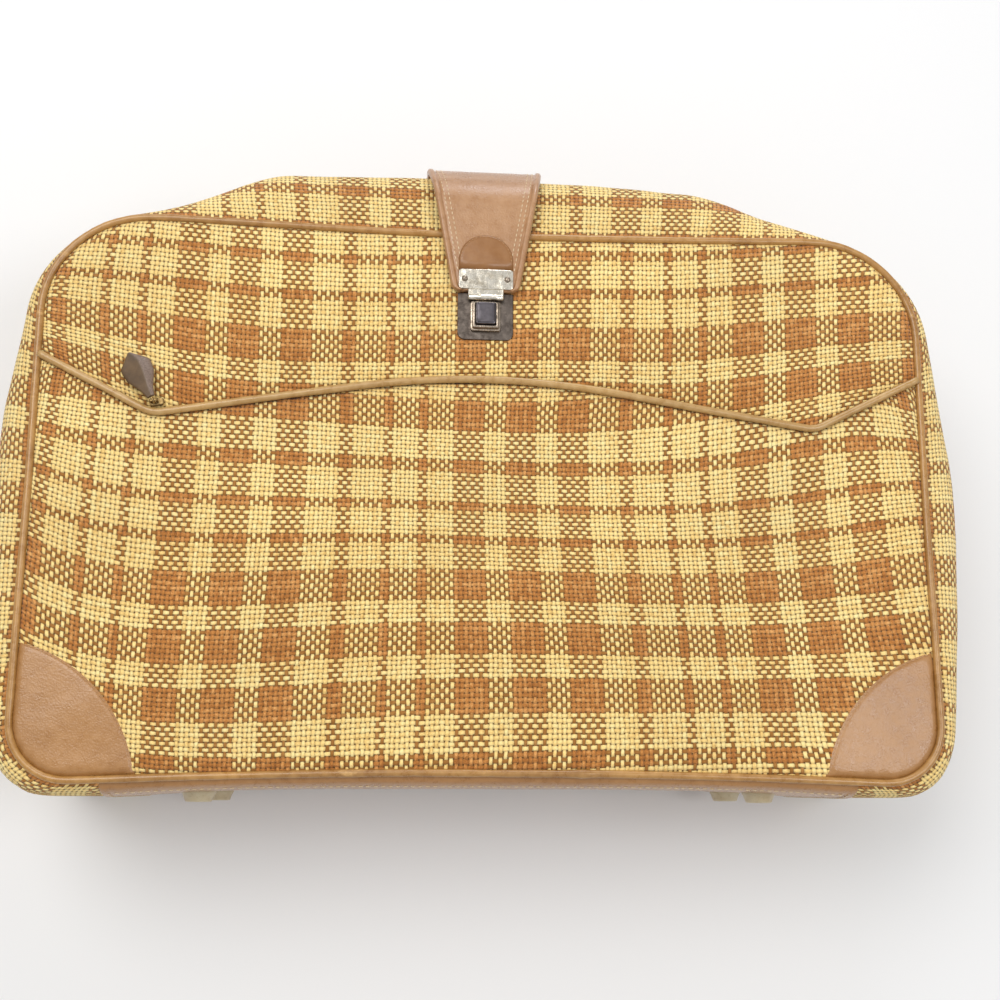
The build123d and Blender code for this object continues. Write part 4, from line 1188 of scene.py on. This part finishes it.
footParts = []
for k, (side, depth) in enumerate([(s, d) for s in (-1, 1) for d in foot["depths"]]):
    spot = Vector((side * foot["spacing"] / 2, case["baseFaceY"], case["depth"] - depth)) * mm
    turn = Matrix.Rotation(math.radians(90), 4, "X") @ Matrix.Rotation(k * foot["turn"], 4, "Z")
    turn = Matrix.Translation(spot) @ turn
    footParts.append(placed(turnedFoot(f"foot{k}"), turn))
done(joined("feet_turned", footParts), "body", "foot_plastic", "feet")
print("base and feet made")

# Zip: tapes and teeth along the outline, from one zip end over the ridge to the other
zipper = {"sink": 0.6, "tape": 7.6, "thickness": 1.0, "gap": 0.4, "teeth": 1.4, "pitch": 2.1, "toothLength": 1.25}


def zipPath(inset):
    loop = outlineRing(1, inset)
    keep = loop[loop[:, 1] > case["zipEndY"]]
    order = np.argsort(np.arctan2(keep[:, 0], keep[:, 1] + 100))
    return evenSteps(keep[order], 2.0)


def zipTape(name, side, body, node):
    near = zipper["gap"] + zipper["teeth"]
    path = zipPath(zipper["sink"] + 0.2)
    middle = case["zipHeight"] + side * (near + zipper["tape"] / 2)
    path = np.column_stack([path, np.full(len(path), middle)])
    half, thick = zipper["tape"] / 2, zipper["thickness"]
    section = np.array([(0, -half), (-thick, -half), (-thick, half), (0, half), (0.15, half * 0.5), (0, 0),
                        (0.15, -half * 0.5)])
    grid = sweepGrid(path, (0, 0, 1), section * (-1, 1))
    obj = addGrid(name, grid, finishes["zip_tape"], wrapColumns=True, caps=True, sharp=40)
    seam = zipPath(zipper["sink"] - 0.05)
    stitchRows[body].append(np.column_stack([seam, np.full(len(path), middle + side * (half - 1.6))]))
    return done(obj, body, "zip_tape", node)


def zipTeeth(name, side, body, node):
    path = zipPath(zipper["sink"] + 0.9)
    middle = case["zipHeight"] + side * (zipper["gap"] + zipper["teeth"] / 2)
    path = np.column_stack([path, np.full(len(path), middle)])
    obj = repeated(name, toothTree, [path], finishes["zip_metal"], zipper["pitch"], zipper["toothLength"], 1.8,
                   zipper["teeth"] + 0.5)
    return done(softEdge(obj, 0.18, 2), body, "zip_metal", node)


zipTape("zip_tape_front", 1, "lid", "front_zip_tape")
zipTape("zip_tape_rear", -1, "body", "rear_zip_tape")
zipTeeth("zip_teeth_front", 1, "lid", "front_zip_teeth")
zipTeeth("zip_teeth_rear", -1, "body", "rear_zip_teeth")
print("zip made")

# Strap: a leather strap with folded edges, over the ridge and down behind
strap = {"rootHalf": 28.0, "tipHalf": 15.8, "thickness": 3.2, "edgeWide": 3.2, "edgeRise": 0.8, "tipY": 94.8,
         "bendY": 148.0, "drop": 17.0, "bendRadius": 25.0, "faceZ": 118.0, "ridgeY": 166.0, "endZ": 51.6,
         "tipRadius": 3.0, "rows": (4.4, 6.6)}


def strapHalf(y, fromTip):
    half = np.interp(y, [strap["tipY"], case["ridgeY"]], [strap["tipHalf"], strap["rootHalf"]])
    r = strap["tipRadius"]
    d = np.clip(fromTip, 0, r)
    return half - (r - np.sqrt(np.maximum(r * r - (r - d) ** 2, 0))) * 0.8


def strapMiddle():
    return roundedPath([(0, strap["tipY"], strap["faceZ"]), (0, strap["bendY"], strap["faceZ"]),
                        (0, strap["ridgeY"], strap["faceZ"] - strap["drop"]), (0, strap["ridgeY"], strap["endZ"])],
                       [strap["bendRadius"]] * 2, 1.2)


strapPath = strapMiddle()
strapRun = runLength(strapPath)
strapUp = np.cross((1, 0, 0), unitRows(np.gradient(strapPath, axis=0)))
if strapUp[0][2] < 0:
    strapUp = -strapUp


def strapSurface(k, x):
    half = strapHalf(strapPath[k][1], strapRun[k])
    inward = half - abs(x)
    thick = strap["thickness"] / 2
    rim = strap["edgeRise"] * (1 - smoothStep(np.array([inward]), strap["edgeWide"] - 0.9, strap["edgeWide"])[0])
    crease = 0.35 * math.exp(-((inward - strap["edgeWide"] - 0.1) / 0.35) ** 2)
    return thick - strap["edgeRise"] + rim - crease


def strapBody():
    shares = np.concatenate([np.linspace(-1, -0.72, 16), np.linspace(-0.66, 0.66, 17), np.linspace(0.72, 1, 16)])
    low = strap["thickness"] / 2
    grid = []
    for k, point in enumerate(strapPath):
        half = strapHalf(point[1], strapRun[k])
        row = []
        for s in shares:
            x = s * half
            inward = half - abs(x)
            edge = 1 - smoothStep(np.array([inward]), 0.0, 1.0)[0]
            top = strapSurface(k, x) - 1.35 * edge ** 1.5
            grain = 0.10 * noise.noise(Vector((x / 5, strapRun[k] / 5, 2.0)))
            row.append(point + np.array((x, 0, 0)) + strapUp[k] * (top + grain))
        for s in shares[::-1]:
            x = s * (half - 0.35)
            row.append(point + np.array((x, 0, 0)) - strapUp[k] * low * (1 - 0.25 * (abs(s) > 0.985)))
        grid.append(row)
    obj = addGrid("strap_leather", np.array(grid), finishes["strap_leather"], wrapColumns=True, caps=True, sharp=70)
    for side in (-1, 1):
        for inward in strap["rows"]:
            row = []
            for k in range(4, len(strapPath) - 3):
                x = side * (strapHalf(strapPath[k][1], strapRun[k]) - inward)
                if strapPath[k][1] < 105.5 and strapRun[k] < 20:
                    continue
                row.append(strapPath[k] + np.array((x, 0, 0)) + strapUp[k] * (strapSurface(k, x) + 0.05))
            stitchRows["strap"].append(np.array(row) + (case["lockX"], 0, 0))
    return done(onLockLine(obj), "strap", "strap_leather", "strap")


strapBody()

inset = {"width": 25.5, "length": 17.5, "bottom": 105.0, "level": 119.0, "rise": 0.75}


def insetPiece():
    radius = inset["width"] / 2
    centreY = inset["bottom"] + inset["length"] - radius
    angles = np.linspace(0, math.pi, 40)
    loop = np.vstack([np.column_stack([radius * np.cos(angles), centreY + radius * np.sin(angles)]),
                      [(-radius, inset["bottom"] - 0.5), (radius, inset["bottom"] - 0.5)]])

    def height(flat, away):
        groove = 0.12 * np.exp(-((away - 0.9) / 0.4) ** 2)
        return inset["level"] + inset["rise"] * smoothStep(away, -0.2, 0.9) - groove + 0.25 * smoothStep(away, 2, 9)

    obj = addSheet("strap_inset_leather", loop, 1.6, height, finishes["inset_leather"], rows=(0.3, 0.7, 1.1, 1.6, 2.2))
    faceUp(obj, (0, 0, 1))
    arc = [(x, y, inset["level"] + inset["rise"] + 0.02) for x, y in zip(
        (radius - 0.9) * np.cos(angles), centreY + (radius - 0.9) * np.sin(angles))]
    stitchRows["inset"] = [np.array(arc) + (case["lockX"], 0, 0)]
    return done(onLockLine(thicken(obj, 0.7)), "strap", "inset_leather", "strap_inset")


insetPiece()

# Hasp with its rolled lip, and two rivets
lockFace = case["panelTop"] + 1.1
hasp = {"width": 25.5, "length": 9.8, "top": 105.0, "level": 119.0, "thickness": 0.9, "neck": 16.4, "lip": 1.4,
        "lipY": 91.5, "tongue": 8.0}


def haspPiece():
    y = hasp["top"] - hasp["length"] / 2
    plateLoop = roundedBox(hasp["width"], hasp["length"], 1.4) + (0, y)
    top = hasp["level"] + hasp["thickness"]
    parts = [addPrism("haspPlate", plateLoop, hasp["level"], top, finishes["nickel"], 0.28)]
    neckLoop = roundedBox(hasp["neck"], 5.6, 0.4) + (0, hasp["top"] - hasp["length"] - 0.9)
    parts.append(addPrism("haspNeck", neckLoop, hasp["level"] - 0.35, hasp["level"] + 0.3, finishes["nickel"], 0.2))
    lipZ = top - hasp["lip"]
    half = hasp["neck"] / 2
    profile = [(0.0, -half), (1.0, -half), (1.3, -half + 0.25), (1.4, -half + 0.6), (1.4, half - 0.6),
               (1.3, half - 0.25), (1.0, half), (0.0, half)]
    lip = addTurned("haspLip", profile, finishes["nickel"], 24, 40)
    parts.append(placed(lip, Matrix.Translation(Vector((0, hasp["lipY"], lipZ)) * mm)
                        @ Matrix.Rotation(math.radians(90), 4, "Y")))
    catchLoop = roundedBox(hasp["tongue"], 1.1, 0.3) + (0, hasp["lipY"] - hasp["lip"] + 0.55)
    parts.append(addPrism("haspCatch", catchLoop, lockFace + 0.4, lipZ, finishes["nickel"], 0.15))
    return done(onLockLine(joined("hasp_plate", parts)), "strap", "nickel", "hasp")


haspPiece()


def domeRivet(name, radius, rise, finish):
    profile = [(0.0, rise), (radius * 0.3, rise * 0.97), (radius * 0.6, rise * 0.8), (radius * 0.85, rise * 0.45),
               (radius, rise * 0.1), (radius, -0.15), (0.0, -0.15)]
    return addTurned(name, profile, finish, 24, 60)


def rivetGroup(name, spots, radius, rise, finishSlot, body, node, turn=None, finish="nickel"):
    parts = []
    for k, spot in enumerate(spots):
        rivet = domeRivet(f"{name}{k}", radius, rise, finishes[finish])
        parts.append(placed(rivet, Matrix.Translation(Vector(spot) * mm) @ (turn or Matrix.Identity(4))))
    return done(joined(name, parts), body, finishSlot, node)


haspTop = hasp["level"] + hasp["thickness"]
rivetGroup("hasp_rivet_heads", [(case["lockX"] + s * 9.95, hasp["top"] - hasp["length"] / 2, haspTop)
                              for s in (-1, 1)], 1.5, 1.0,
           "nickel", "strap", "hasp_rivets", finish="case_nickel")

# Lock: plate, stepped case and push button
lock = {"width": 26.0, "length": 23.0, "bottom": 71.5, "caseWidth": 14.0, "caseLength": 14.4,
        "caseBottom": 75.3, "caseHeight": 3.6, "buttonWidth": 9.0, "buttonLength": 10.5, "buttonHeight": 3.4,
        "travel": 1.5}


def roundedBottom(width, length, bottom, radius):
    loop = roundedBox(width, length, radius, 8) + (0, bottom + length / 2)
    upper = loop[:, 1] > bottom + length / 2
    corners = loop.copy()
    corners[upper, 0] = np.sign(corners[upper, 0]) * width / 2
    corners[upper, 1] = bottom + length
    keep = [0]
    for k in range(1, len(corners)):
        if np.linalg.norm(corners[k] - corners[keep[-1]]) > 1e-6:
            keep.append(k)
    return corners[keep]


plateLoop = roundedBottom(lock["width"], lock["length"], lock["bottom"], 3.5)
lockPlate = addPrism("lock_back_plate", plateLoop, case["panelTop"] - 0.1, lockFace, finishes["dark_nickel"], 0.3)
done(onLockLine(lockPlate), "lid", "dark_nickel", "lock_plate")


def lockCase():
    y0, high = lock["caseBottom"], lockFace + lock["caseHeight"]
    middleY = y0 + lock["caseLength"] / 2
    wall = (lock["caseWidth"] - lock["buttonWidth"]) / 2
    buttonY = y0 + wall + lock["buttonLength"] / 2

    def loopAt(width, length, radius, z, y):
        loop = roundedBox(width, length, radius, 4) + (0, y)
        return np.column_stack([loop, np.full(len(loop), z)])

    # Up the outside in two steps, over the rim and down inside
    outside = [(0.0, lockFace - 0.05), (0.0, lockFace + 1.5), (0.12, lockFace + 1.7), (0.75, lockFace + 1.75),
               (0.85, lockFace + 1.9), (0.9, high - 0.45), (1.05, high - 0.12), (1.35, high)]
    rings = [loopAt(lock["caseWidth"] - 2 * i, lock["caseLength"] - 2 * i, max(1.2 - i * 0.5, 0.5), z, middleY)
             for i, z in outside]
    room = 0.3
    for grow, z in ((0.25, high), (0.08, high - 0.12), (0.0, high - 0.4), (0.0, lockFace + 0.1)):
        rings.append(loopAt(lock["buttonWidth"] + 2 * (room + grow), lock["buttonLength"] + 2 * (room + grow), 0.6, z,
                            buttonY))
    obj = addGrid("lock_frame", np.array(rings), finishes["case_nickel"], wrapColumns=True, sharp=45)
    return done(onLockLine(obj), "lid", "dark_nickel", "lock_case")


lockCase()


def lockButton():
    wall = (lock["caseWidth"] - lock["buttonWidth"]) / 2
    y = lock["caseBottom"] + wall + lock["buttonLength"] / 2
    low = lockFace + lock["travel"] + 0.3
    high = low + lock["buttonHeight"]
    levels = [(0.0, low), (0.0, high - 0.75), (0.12, high - 0.5), (0.5, high - 0.42), (0.62, high - 0.3),
              (0.75, high - 0.06), (1.0, high), (2.2, high + 0.03)]
    rings = [np.column_stack([roundedBox(lock["buttonWidth"] - 2 * i, lock["buttonLength"] - 2 * i,
                                         max(0.8 - i * 0.3, 0.3), 4) + (0, y),
                              np.full(20, z)]) for i, z in levels]
    obj = addGrid("button_cap", np.array(rings), finishes["button_steel"], wrapColumns=True, caps=True, sharp=45)
    return done(onLockLine(obj), "lock_button", "button_steel", "lock_button")


lockButton()
print("strap and lock made")

# Handle: padded grip, leather chapes and their rivets
handle = {"half": 66.0, "pivotZ": 38.0, "pivotY": 169.7, "drop": 27.0, "wide": 13.0, "thick": 9.0, "bend": 15.0,
          "eye": 4.0, "eyeWide": 10.0}


def handleGrip():
    top = handle["pivotZ"] - handle["eye"] + 1
    low = handle["pivotZ"] - handle["drop"]
    x, y = handle["half"], handle["pivotY"]
    path = roundedPath([(-x, y, top), (-x, y, low), (x, y, low), (x, y, top)], [handle["bend"]] * 2, 1.6)
    run = runLength(path)
    angle = turns(28)
    sections = []
    for k in range(len(path)):
        end = min(run[k], run[-1] - run[k])
        swell = 0.86 + 0.14 * smoothStep(np.array([end]), 2.0, 34.0)[0]
        puff = 1 + 0.02 * noise.noise(Vector((run[k] / 9, 3.0, 1.0)))
        shape = np.column_stack([np.sign(np.cos(angle)) * np.abs(np.cos(angle)) ** 0.72 * handle["wide"] / 2,
                                 np.sign(np.sin(angle)) * np.abs(np.sin(angle)) ** 0.72 * handle["thick"] / 2])
        shape = shape * swell * puff
        seam = np.exp(-((angle - math.pi) / 0.16) ** 2)
        shape[:, 0] += seam * 0.55
        sections.append(shape)
    grid = sweepGrid(path, (0, 1, 0), sections)
    parts = [addGrid("gripBody", grid, finishes["grip_vinyl"], wrapColumns=True, caps=True, sharp=70)]
    for side in (-1, 1):
        half, r = handle["eyeWide"] / 2, handle["eye"]
        profile = [(1.9, -half), (r - 0.5, -half), (r - 0.1, -half + 0.3), (r, -half + 0.8), (r, half - 0.8),
                   (r - 0.1, half - 0.3), (r - 0.5, half), (1.9, half)]
        eye = addGrid(f"gripEye{side}", turnedGrid(profile, 28), finishes["grip_vinyl"], wrapRows=True,
                      wrapColumns=True, sharp=50)
        parts.append(placed(eye, Matrix.Translation(Vector((side * x, y, handle["pivotZ"])) * mm)
                            @ Matrix.Rotation(math.radians(90), 4, "Y")))
    for way in (-1, 1):
        inner = path + np.array((0, way * handle["thick"] * 0.46, 0))
        keep = inner[(run > 12) & (run < run[-1] - 12)]
        stitchRows["handle"].append(keep * (0.955, 1, 1) + (0, 0, 3.6))
    obj = done(joined("handle_padded", parts), "handle", "grip_vinyl", "handle_grip")
    return obj


handleGrip()

chape = {"length": 26.0, "width": 20.0, "thickness": 1.2, "seam": 3.6, "rivetOut": 10, "rivetY": 165.2}
standUp = Matrix.Rotation(math.radians(-90), 4, "X")  # a flat piece, turned to face +Y


def ridgePiece(obj, x, z, y=None):
    spot = Vector((x, case["ridgeY"] if y is None else y, z)) * mm
    return placed(obj, Matrix.Translation(spot) @ standUp)


chapeParts = []
for side in (-1, 1):
    loop = roundedBox(chape["length"], chape["width"], 3.0, 6)
    tab = addPrism(f"chape{side}", loop, -0.4, chape["thickness"], finishes["grip_vinyl"], 0.5, 4)
    chapeParts.append(ridgePiece(tab, side * handle["half"], handle["pivotZ"]))
    row = roundedBox(chape["length"] - chape["seam"], chape["width"] - chape["seam"], 2.0, 6)
    row = np.vstack([row, row[:1]])
    stitchRows["body"].append(np.array([(side * handle["half"] + p, case["ridgeY"] + chape["thickness"] + 0.05,
                                         handle["pivotZ"] + q) for p, q in row]))
done(joined("chapes", chapeParts), "body", "grip_vinyl", "handle_chapes")

anchor = {"width": 56.0, "height": 15.0, "z": 43.5, "thickness": 2.0, "seam": 4.0, "rivetY": 165.0}
anchorLoop = roundedBox(anchor["width"], anchor["height"], 2.0, 6)
anchorTab = addPrism("anchorTab", anchorLoop, -0.4, anchor["thickness"], finishes["strap_leather"], 0.6, 4)
done(ridgePiece(anchorTab, case["lockX"], anchor["z"]), "body", "strap_leather", "strap_anchor")
anchorRow = roundedBox(anchor["width"] - anchor["seam"], anchor["height"] - anchor["seam"], 1.2, 5)
anchorRow = np.vstack([anchorRow, anchorRow[:1]])
stitchRows["body"].append(np.array([(case["lockX"] + p, case["ridgeY"] + anchor["thickness"] + 0.05, anchor["z"] + q)
                                     for p, q in anchorRow]))
rivetGroup("anchor_rivet_heads", [(case["lockX"] + s * anchor["width"] / 3, anchor["rivetY"], anchor["z"])
                                  for s in (-1, 1)], 4.0, 1.4, "nickel", "body", "anchor_rivets", standUp)
rivetGroup("handle_rivet_heads", [(s * handle["half"] + w * chape["rivetOut"], chape["rivetY"], handle["pivotZ"])
                                  for s in (-1, 1) for w in (-1, 1)], 1.7, 1.0,
           "nickel", "body", "handle_rivets", standUp)
print("handle made")

# Pocket zip: slider, ring and folded leather pull
pull = {"start": 2.9, "above": 4.4, "bail": -1.1, "angle": 119.0, "droop": 7.0, "length": 22.8, "neck": 7.2,
        "wide": 14.0, "point": 5.5, "ridge": 2.8, "fold": 0.34, "clear": 0.7, "thickness": 1.3, "ringRadius": 1.8,
        "ringWire": 0.4, "offset": 0.4, "ringFacets": 40}
corners = pocketCorners()
runAngle = math.atan2(corners[2][1] - corners[1][1], corners[2][0] - corners[1][0])
sliderPlace = (Matrix.Translation(Vector((*corners[1], case["panelTop"] + 0.3)) * mm)
               @ Matrix.Rotation(runAngle, 4, "Z") @ Matrix.Translation(Vector((pull["start"], pull["above"], 0)) * mm))
pullPlace = (sliderPlace @ Matrix.Translation(Vector((pull["bail"], 0, 1.8 + 2.75)) * mm)
             @ Matrix.Rotation(math.radians(pull["angle"]) - runAngle, 4, "Z")
             @ Matrix.Rotation(math.radians(pull["droop"]), 4, "Y"))


def sliderBody():
    parts = [addPrism("sliderBlock", roundedBox(6.4, 3.4, 1.3), 0.0, 1.8, finishes["zip_metal"], 0.45, 4)]
    near, far = pull["bail"] - 1.6, pull["bail"] + 1.6
    path = roundedPath([(near, 0, 1.5), (near, 0, 4.55), (far, 0, 4.55), (far, 0, 1.5)], [0.7, 0.7], 0.3)
    parts.append(addGrid("sliderBail", sweepGrid(path, (0, 1, 0), roundedBox(0.6, 1.2, 0.25, 3)),
                         finishes["zip_metal"], wrapColumns=True, caps=True, sharp=60))
    obj = placed(joined("pocket_slider_body", parts), sliderPlace)
    return done(obj, "pocket_slider", "zip_metal", "pocket_slider")


sliderBody()


def pullRing():
    angle = turns(pull["ringFacets"])
    path = pull["ringRadius"] * np.column_stack([np.cos(angle), np.zeros(len(angle)), np.sin(angle)])
    normal = path / pull["ringRadius"]
    section = circle(pull["ringWire"], 12)
    grid = np.array([path[k] + section[:, :1] * normal[k] + section[:, 1:] * np.array((0, 1, 0))
                     for k in range(len(angle))])
    grid = grid + np.array((pull["offset"], 0, 0))
    obj = addGrid("pull_ring", grid, finishes["zip_metal"], wrapRows=True, wrapColumns=True)
    return done(placed(obj, pullPlace), "pocket_pull", "zip_metal", "pocket_ring")


pullRing()


def leatherPull():
    start = pull["offset"] + pull["clear"]
    end = pull["offset"] + pull["ringRadius"] + pull["length"]
    neck, wide, point = pull["neck"] / 2, pull["wide"] / 2, pull["point"]
    grid, uv = [], []
    for s in np.linspace(0, 1, 60):
        x = start + (end - start) * s
        half = np.interp(x, [start, start + 5, end - point - 6, end - point - 1, end - point, end - point + 1.2, end],
                         [neck * 0.45, neck * 0.85, wide * 0.93, wide, wide * 0.99, wide * 0.86, 0.7])
        curl = 0.3 * math.sin(s * math.pi)
        shares = np.linspace(-1, 1, 27)
        fold = -pull["fold"] * half / wide  # the crest lies right of the middle
        roof = []
        for p in shares:
            away = p * half / wide - fold
            away = away / (1 - pull["fold"]) if away < 0 else away / (1 + pull["fold"])
            roof.append(pull["ridge"] * (1 - math.sqrt(away ** 2 + 0.002)))
        top = [(x, p * half, r + curl - 0.35 * max(0.0, (abs(p) - 0.85) / 0.15)) for p, r in zip(shares, roof)]
        low = [(x, p * half * 0.98, r + curl - pull["thickness"]) for p, r in zip(shares[::-1], roof[::-1])]
        grid.append(top + low)
        uv.append([(p * half - fold * wide, x) for p in shares] + [(p * half - fold * wide, x) for p in shares[::-1]])
    obj = addGrid("leather_pull", np.array(grid), finishes["pull_leather"], np.array(uv), wrapColumns=True, caps=True,
                  sharp=70)
    return done(placed(obj, pullPlace), "pocket_pull", "pull_leather", "pocket_pull")


leatherPull()

# Main zip slider and its metal pull
slider = {"x": -92.0, "z": 68.0, "floor": 163.5, "length": 11.0, "width": 7.0, "height": 2.6, "pullLength": 24.0,
          "pullWidth": 6.5}


def mainSlider():
    block = addPrism("mainBlock", roundedBox(slider["length"], slider["width"], 2.4, 6), 0.0, slider["height"],
                     finishes["nickel"], 0.6, 4)
    path = roundedPath([(-1.9, 0, 2.3), (-1.9, 0, 4.8), (1.9, 0, 4.8), (1.9, 0, 2.3)], [1.1, 1.1], 0.4)
    bridge = addGrid("mainBridge", sweepGrid(path, (0, 1, 0), roundedBox(0.8, 3.2, 0.3, 3)), finishes["nickel"],
                     wrapColumns=True, caps=True, sharp=60)
    obj = ridgePiece(joined("main_slider_body", [block, bridge]), slider["x"], slider["z"], slider["floor"])
    return done(obj, "main_slider", "nickel", "main_slider")


mainSlider()


def mainPull():
    half, level = slider["pullWidth"] / 2, slider["height"] + 0.2
    wire = 0.7
    path = roundedPath([(-6.0, half - wire, level + wire), (0.0, half - wire, level + wire),
                        (0.0, -half + wire, level + wire), (-6.0, -half + wire, level + wire)], [0.8, 0.8], 0.4)
    loop = addGrid("pullLoop", sweepGrid(path, (0, 0, 1), circle(wire, 12)), finishes["nickel"], wrapColumns=True,
                   caps=True, sharp=60)
    tabLoop = roundedBox(slider["pullLength"] - 5.0, slider["pullWidth"], 2.4, 6) + (
        -(slider["pullLength"] + 5.0) / 2, 0)
    tab = addPrism("pullTab", tabLoop, level, level + 1.4, finishes["nickel"], 0.4, 4)
    obj = ridgePiece(joined("main_pull_tab", [loop, tab]), slider["x"], slider["z"], slider["floor"])
    return done(obj, "main_pull", "nickel", "main_pull")


mainPull()
print("sliders made")

# Linings: cloth over the boards and up the inside of the gusset
lining = {"inset": 8.8, "frontLevel": 110.9, "backLevel": 5.1, "thickness": 0.6}


def panelLining(name, level, way, body, node):
    def height(flat, away):
        points = np.column_stack([flat, np.zeros(len(flat))])
        return level - way * 0.15 * ripple(points, 40.0, level)

    obj = addSheet(name, outlineRing(0, lining["inset"]), 8.0, height, finishes["lining_cloth"], rows=())
    faceUp(obj, (0, 0, -way))
    stretchedCloth(obj, lining["thickness"], body, "lining_cloth", node, (0.396, 0.242))


panelLining("lining_front", lining["frontLevel"] - 0.7, 1, "lid", "front_lining")
panelLining("lining_back", lining["backLevel"] + 0.7, -1, "body", "back_lining")

# Stitches of each body in one piece
stitch = {"pitch": 3.2, "length": 2.3, "width": 0.55, "height": 0.42}
stitched = {"lid": ("stitches_lid", "lid", 0.72, tanThread), "body": ("stitches_body", "body", 1.0, paleThread),
            "strap": ("stitches_strap", "strap", 0.8, paleThread),
            "handle": ("stitches_handle", "handle", 1.0, paleThread),
            "inset": ("stitches_inset", "strap", 0.6, tanThread)}
for key, (name, body, size, thread) in stitched.items():
    obj = repeated(name, stitchTree, stitchRows[key], thread, stitch["pitch"] * size, stitch["length"] * size,
                   stitch["width"] * size, stitch["height"] * size)
    done(obj, body, "lining_cloth")
print("stitches made")

# CAD nodes that keep their shape take a finish of their slot
for node, obj in frame["nodes"].items():
    wears = next((s for s in frame["record"]["subparts"] if s.get("node", s.get("name")) == node), {})
    slot = wears.get("material_slot")
    if slot in finishes:
        obj.data.materials.clear()
        obj.data.materials.append(finishes[slot])

# Floor, lights and camera
studio = {"floor": 0.82, "world": 0.60, "key": 10.0, "fill": 4.0, "rim": 4.0}


def studioFloor():
    mesh = bpy.data.meshes.new("studioFloor")
    mesh.from_pydata([(-3, -3, -0.0004), (3, -3, -0.0004), (3, 3, -0.0004), (-3, 3, -0.0004)], [], [(0, 1, 2, 3)])
    ground = Finish("studioFloor")
    mesh.materials.append(ground.surface(colour=(studio["floor"],) * 3, roughness=0.9, specular=0.1))
    addObject("studioFloor", mesh)


studioFloor()


lampAim = (0, 0, 0.08)


def areaLight(name, spot, size, power, tint):
    lamp = bpy.data.lights.new(name, "AREA")
    lamp.shape, lamp.size, lamp.energy, lamp.color = "DISK", size, power, tint
    obj = addObject(name, lamp)
    obj.location = spot
    obj.rotation_euler = (Vector(lampAim) - Vector(spot)).to_track_quat("-Z", "Y").to_euler()


areaLight("keyLight", (-0.5, 0.45, 1.35), 0.9, studio["key"], (1.0, 0.98, 0.95))
areaLight("fillLight", (0.62, -0.1, 1.2), 0.5, studio["fill"], (0.95, 0.97, 1.0))
areaLight("rimLight", (0.2, 1.4, 0.6), 0.45, studio["rim"], (0.92, 0.94, 1.0))
world = bpy.data.worlds.new("studioWorld")
world.use_nodes = True
world.node_tree.nodes["Background"].inputs[0].default_value = (1, 1, 1, 1)
world.node_tree.nodes["Background"].inputs[1].default_value = studio["world"]
bpy.context.scene.world = world

camera = {"spot": (-0.0385, -0.1297, 0.6534), "tilt": 13.1, "yaw": -4.47, "roll": 1.22, "lens": 44.2}
lens = bpy.data.cameras.new("photoCamera")
lens.lens, lens.sensor_width, lens.clip_start = camera["lens"], 36.0, 0.01
eye = addObject("photoCamera", lens)
eye.location = camera["spot"]
turn = Matrix.Rotation(math.radians(camera["tilt"]), 3, "X") @ Matrix.Rotation(math.radians(camera["yaw"]), 3, "Y")
eye.rotation_euler = (turn @ Matrix.Rotation(math.radians(camera["roll"]), 3, "Z")).to_euler()
bpy.context.scene.camera = eye
bpy.context.scene.view_settings.view_transform = "Standard"

print("scene ready")
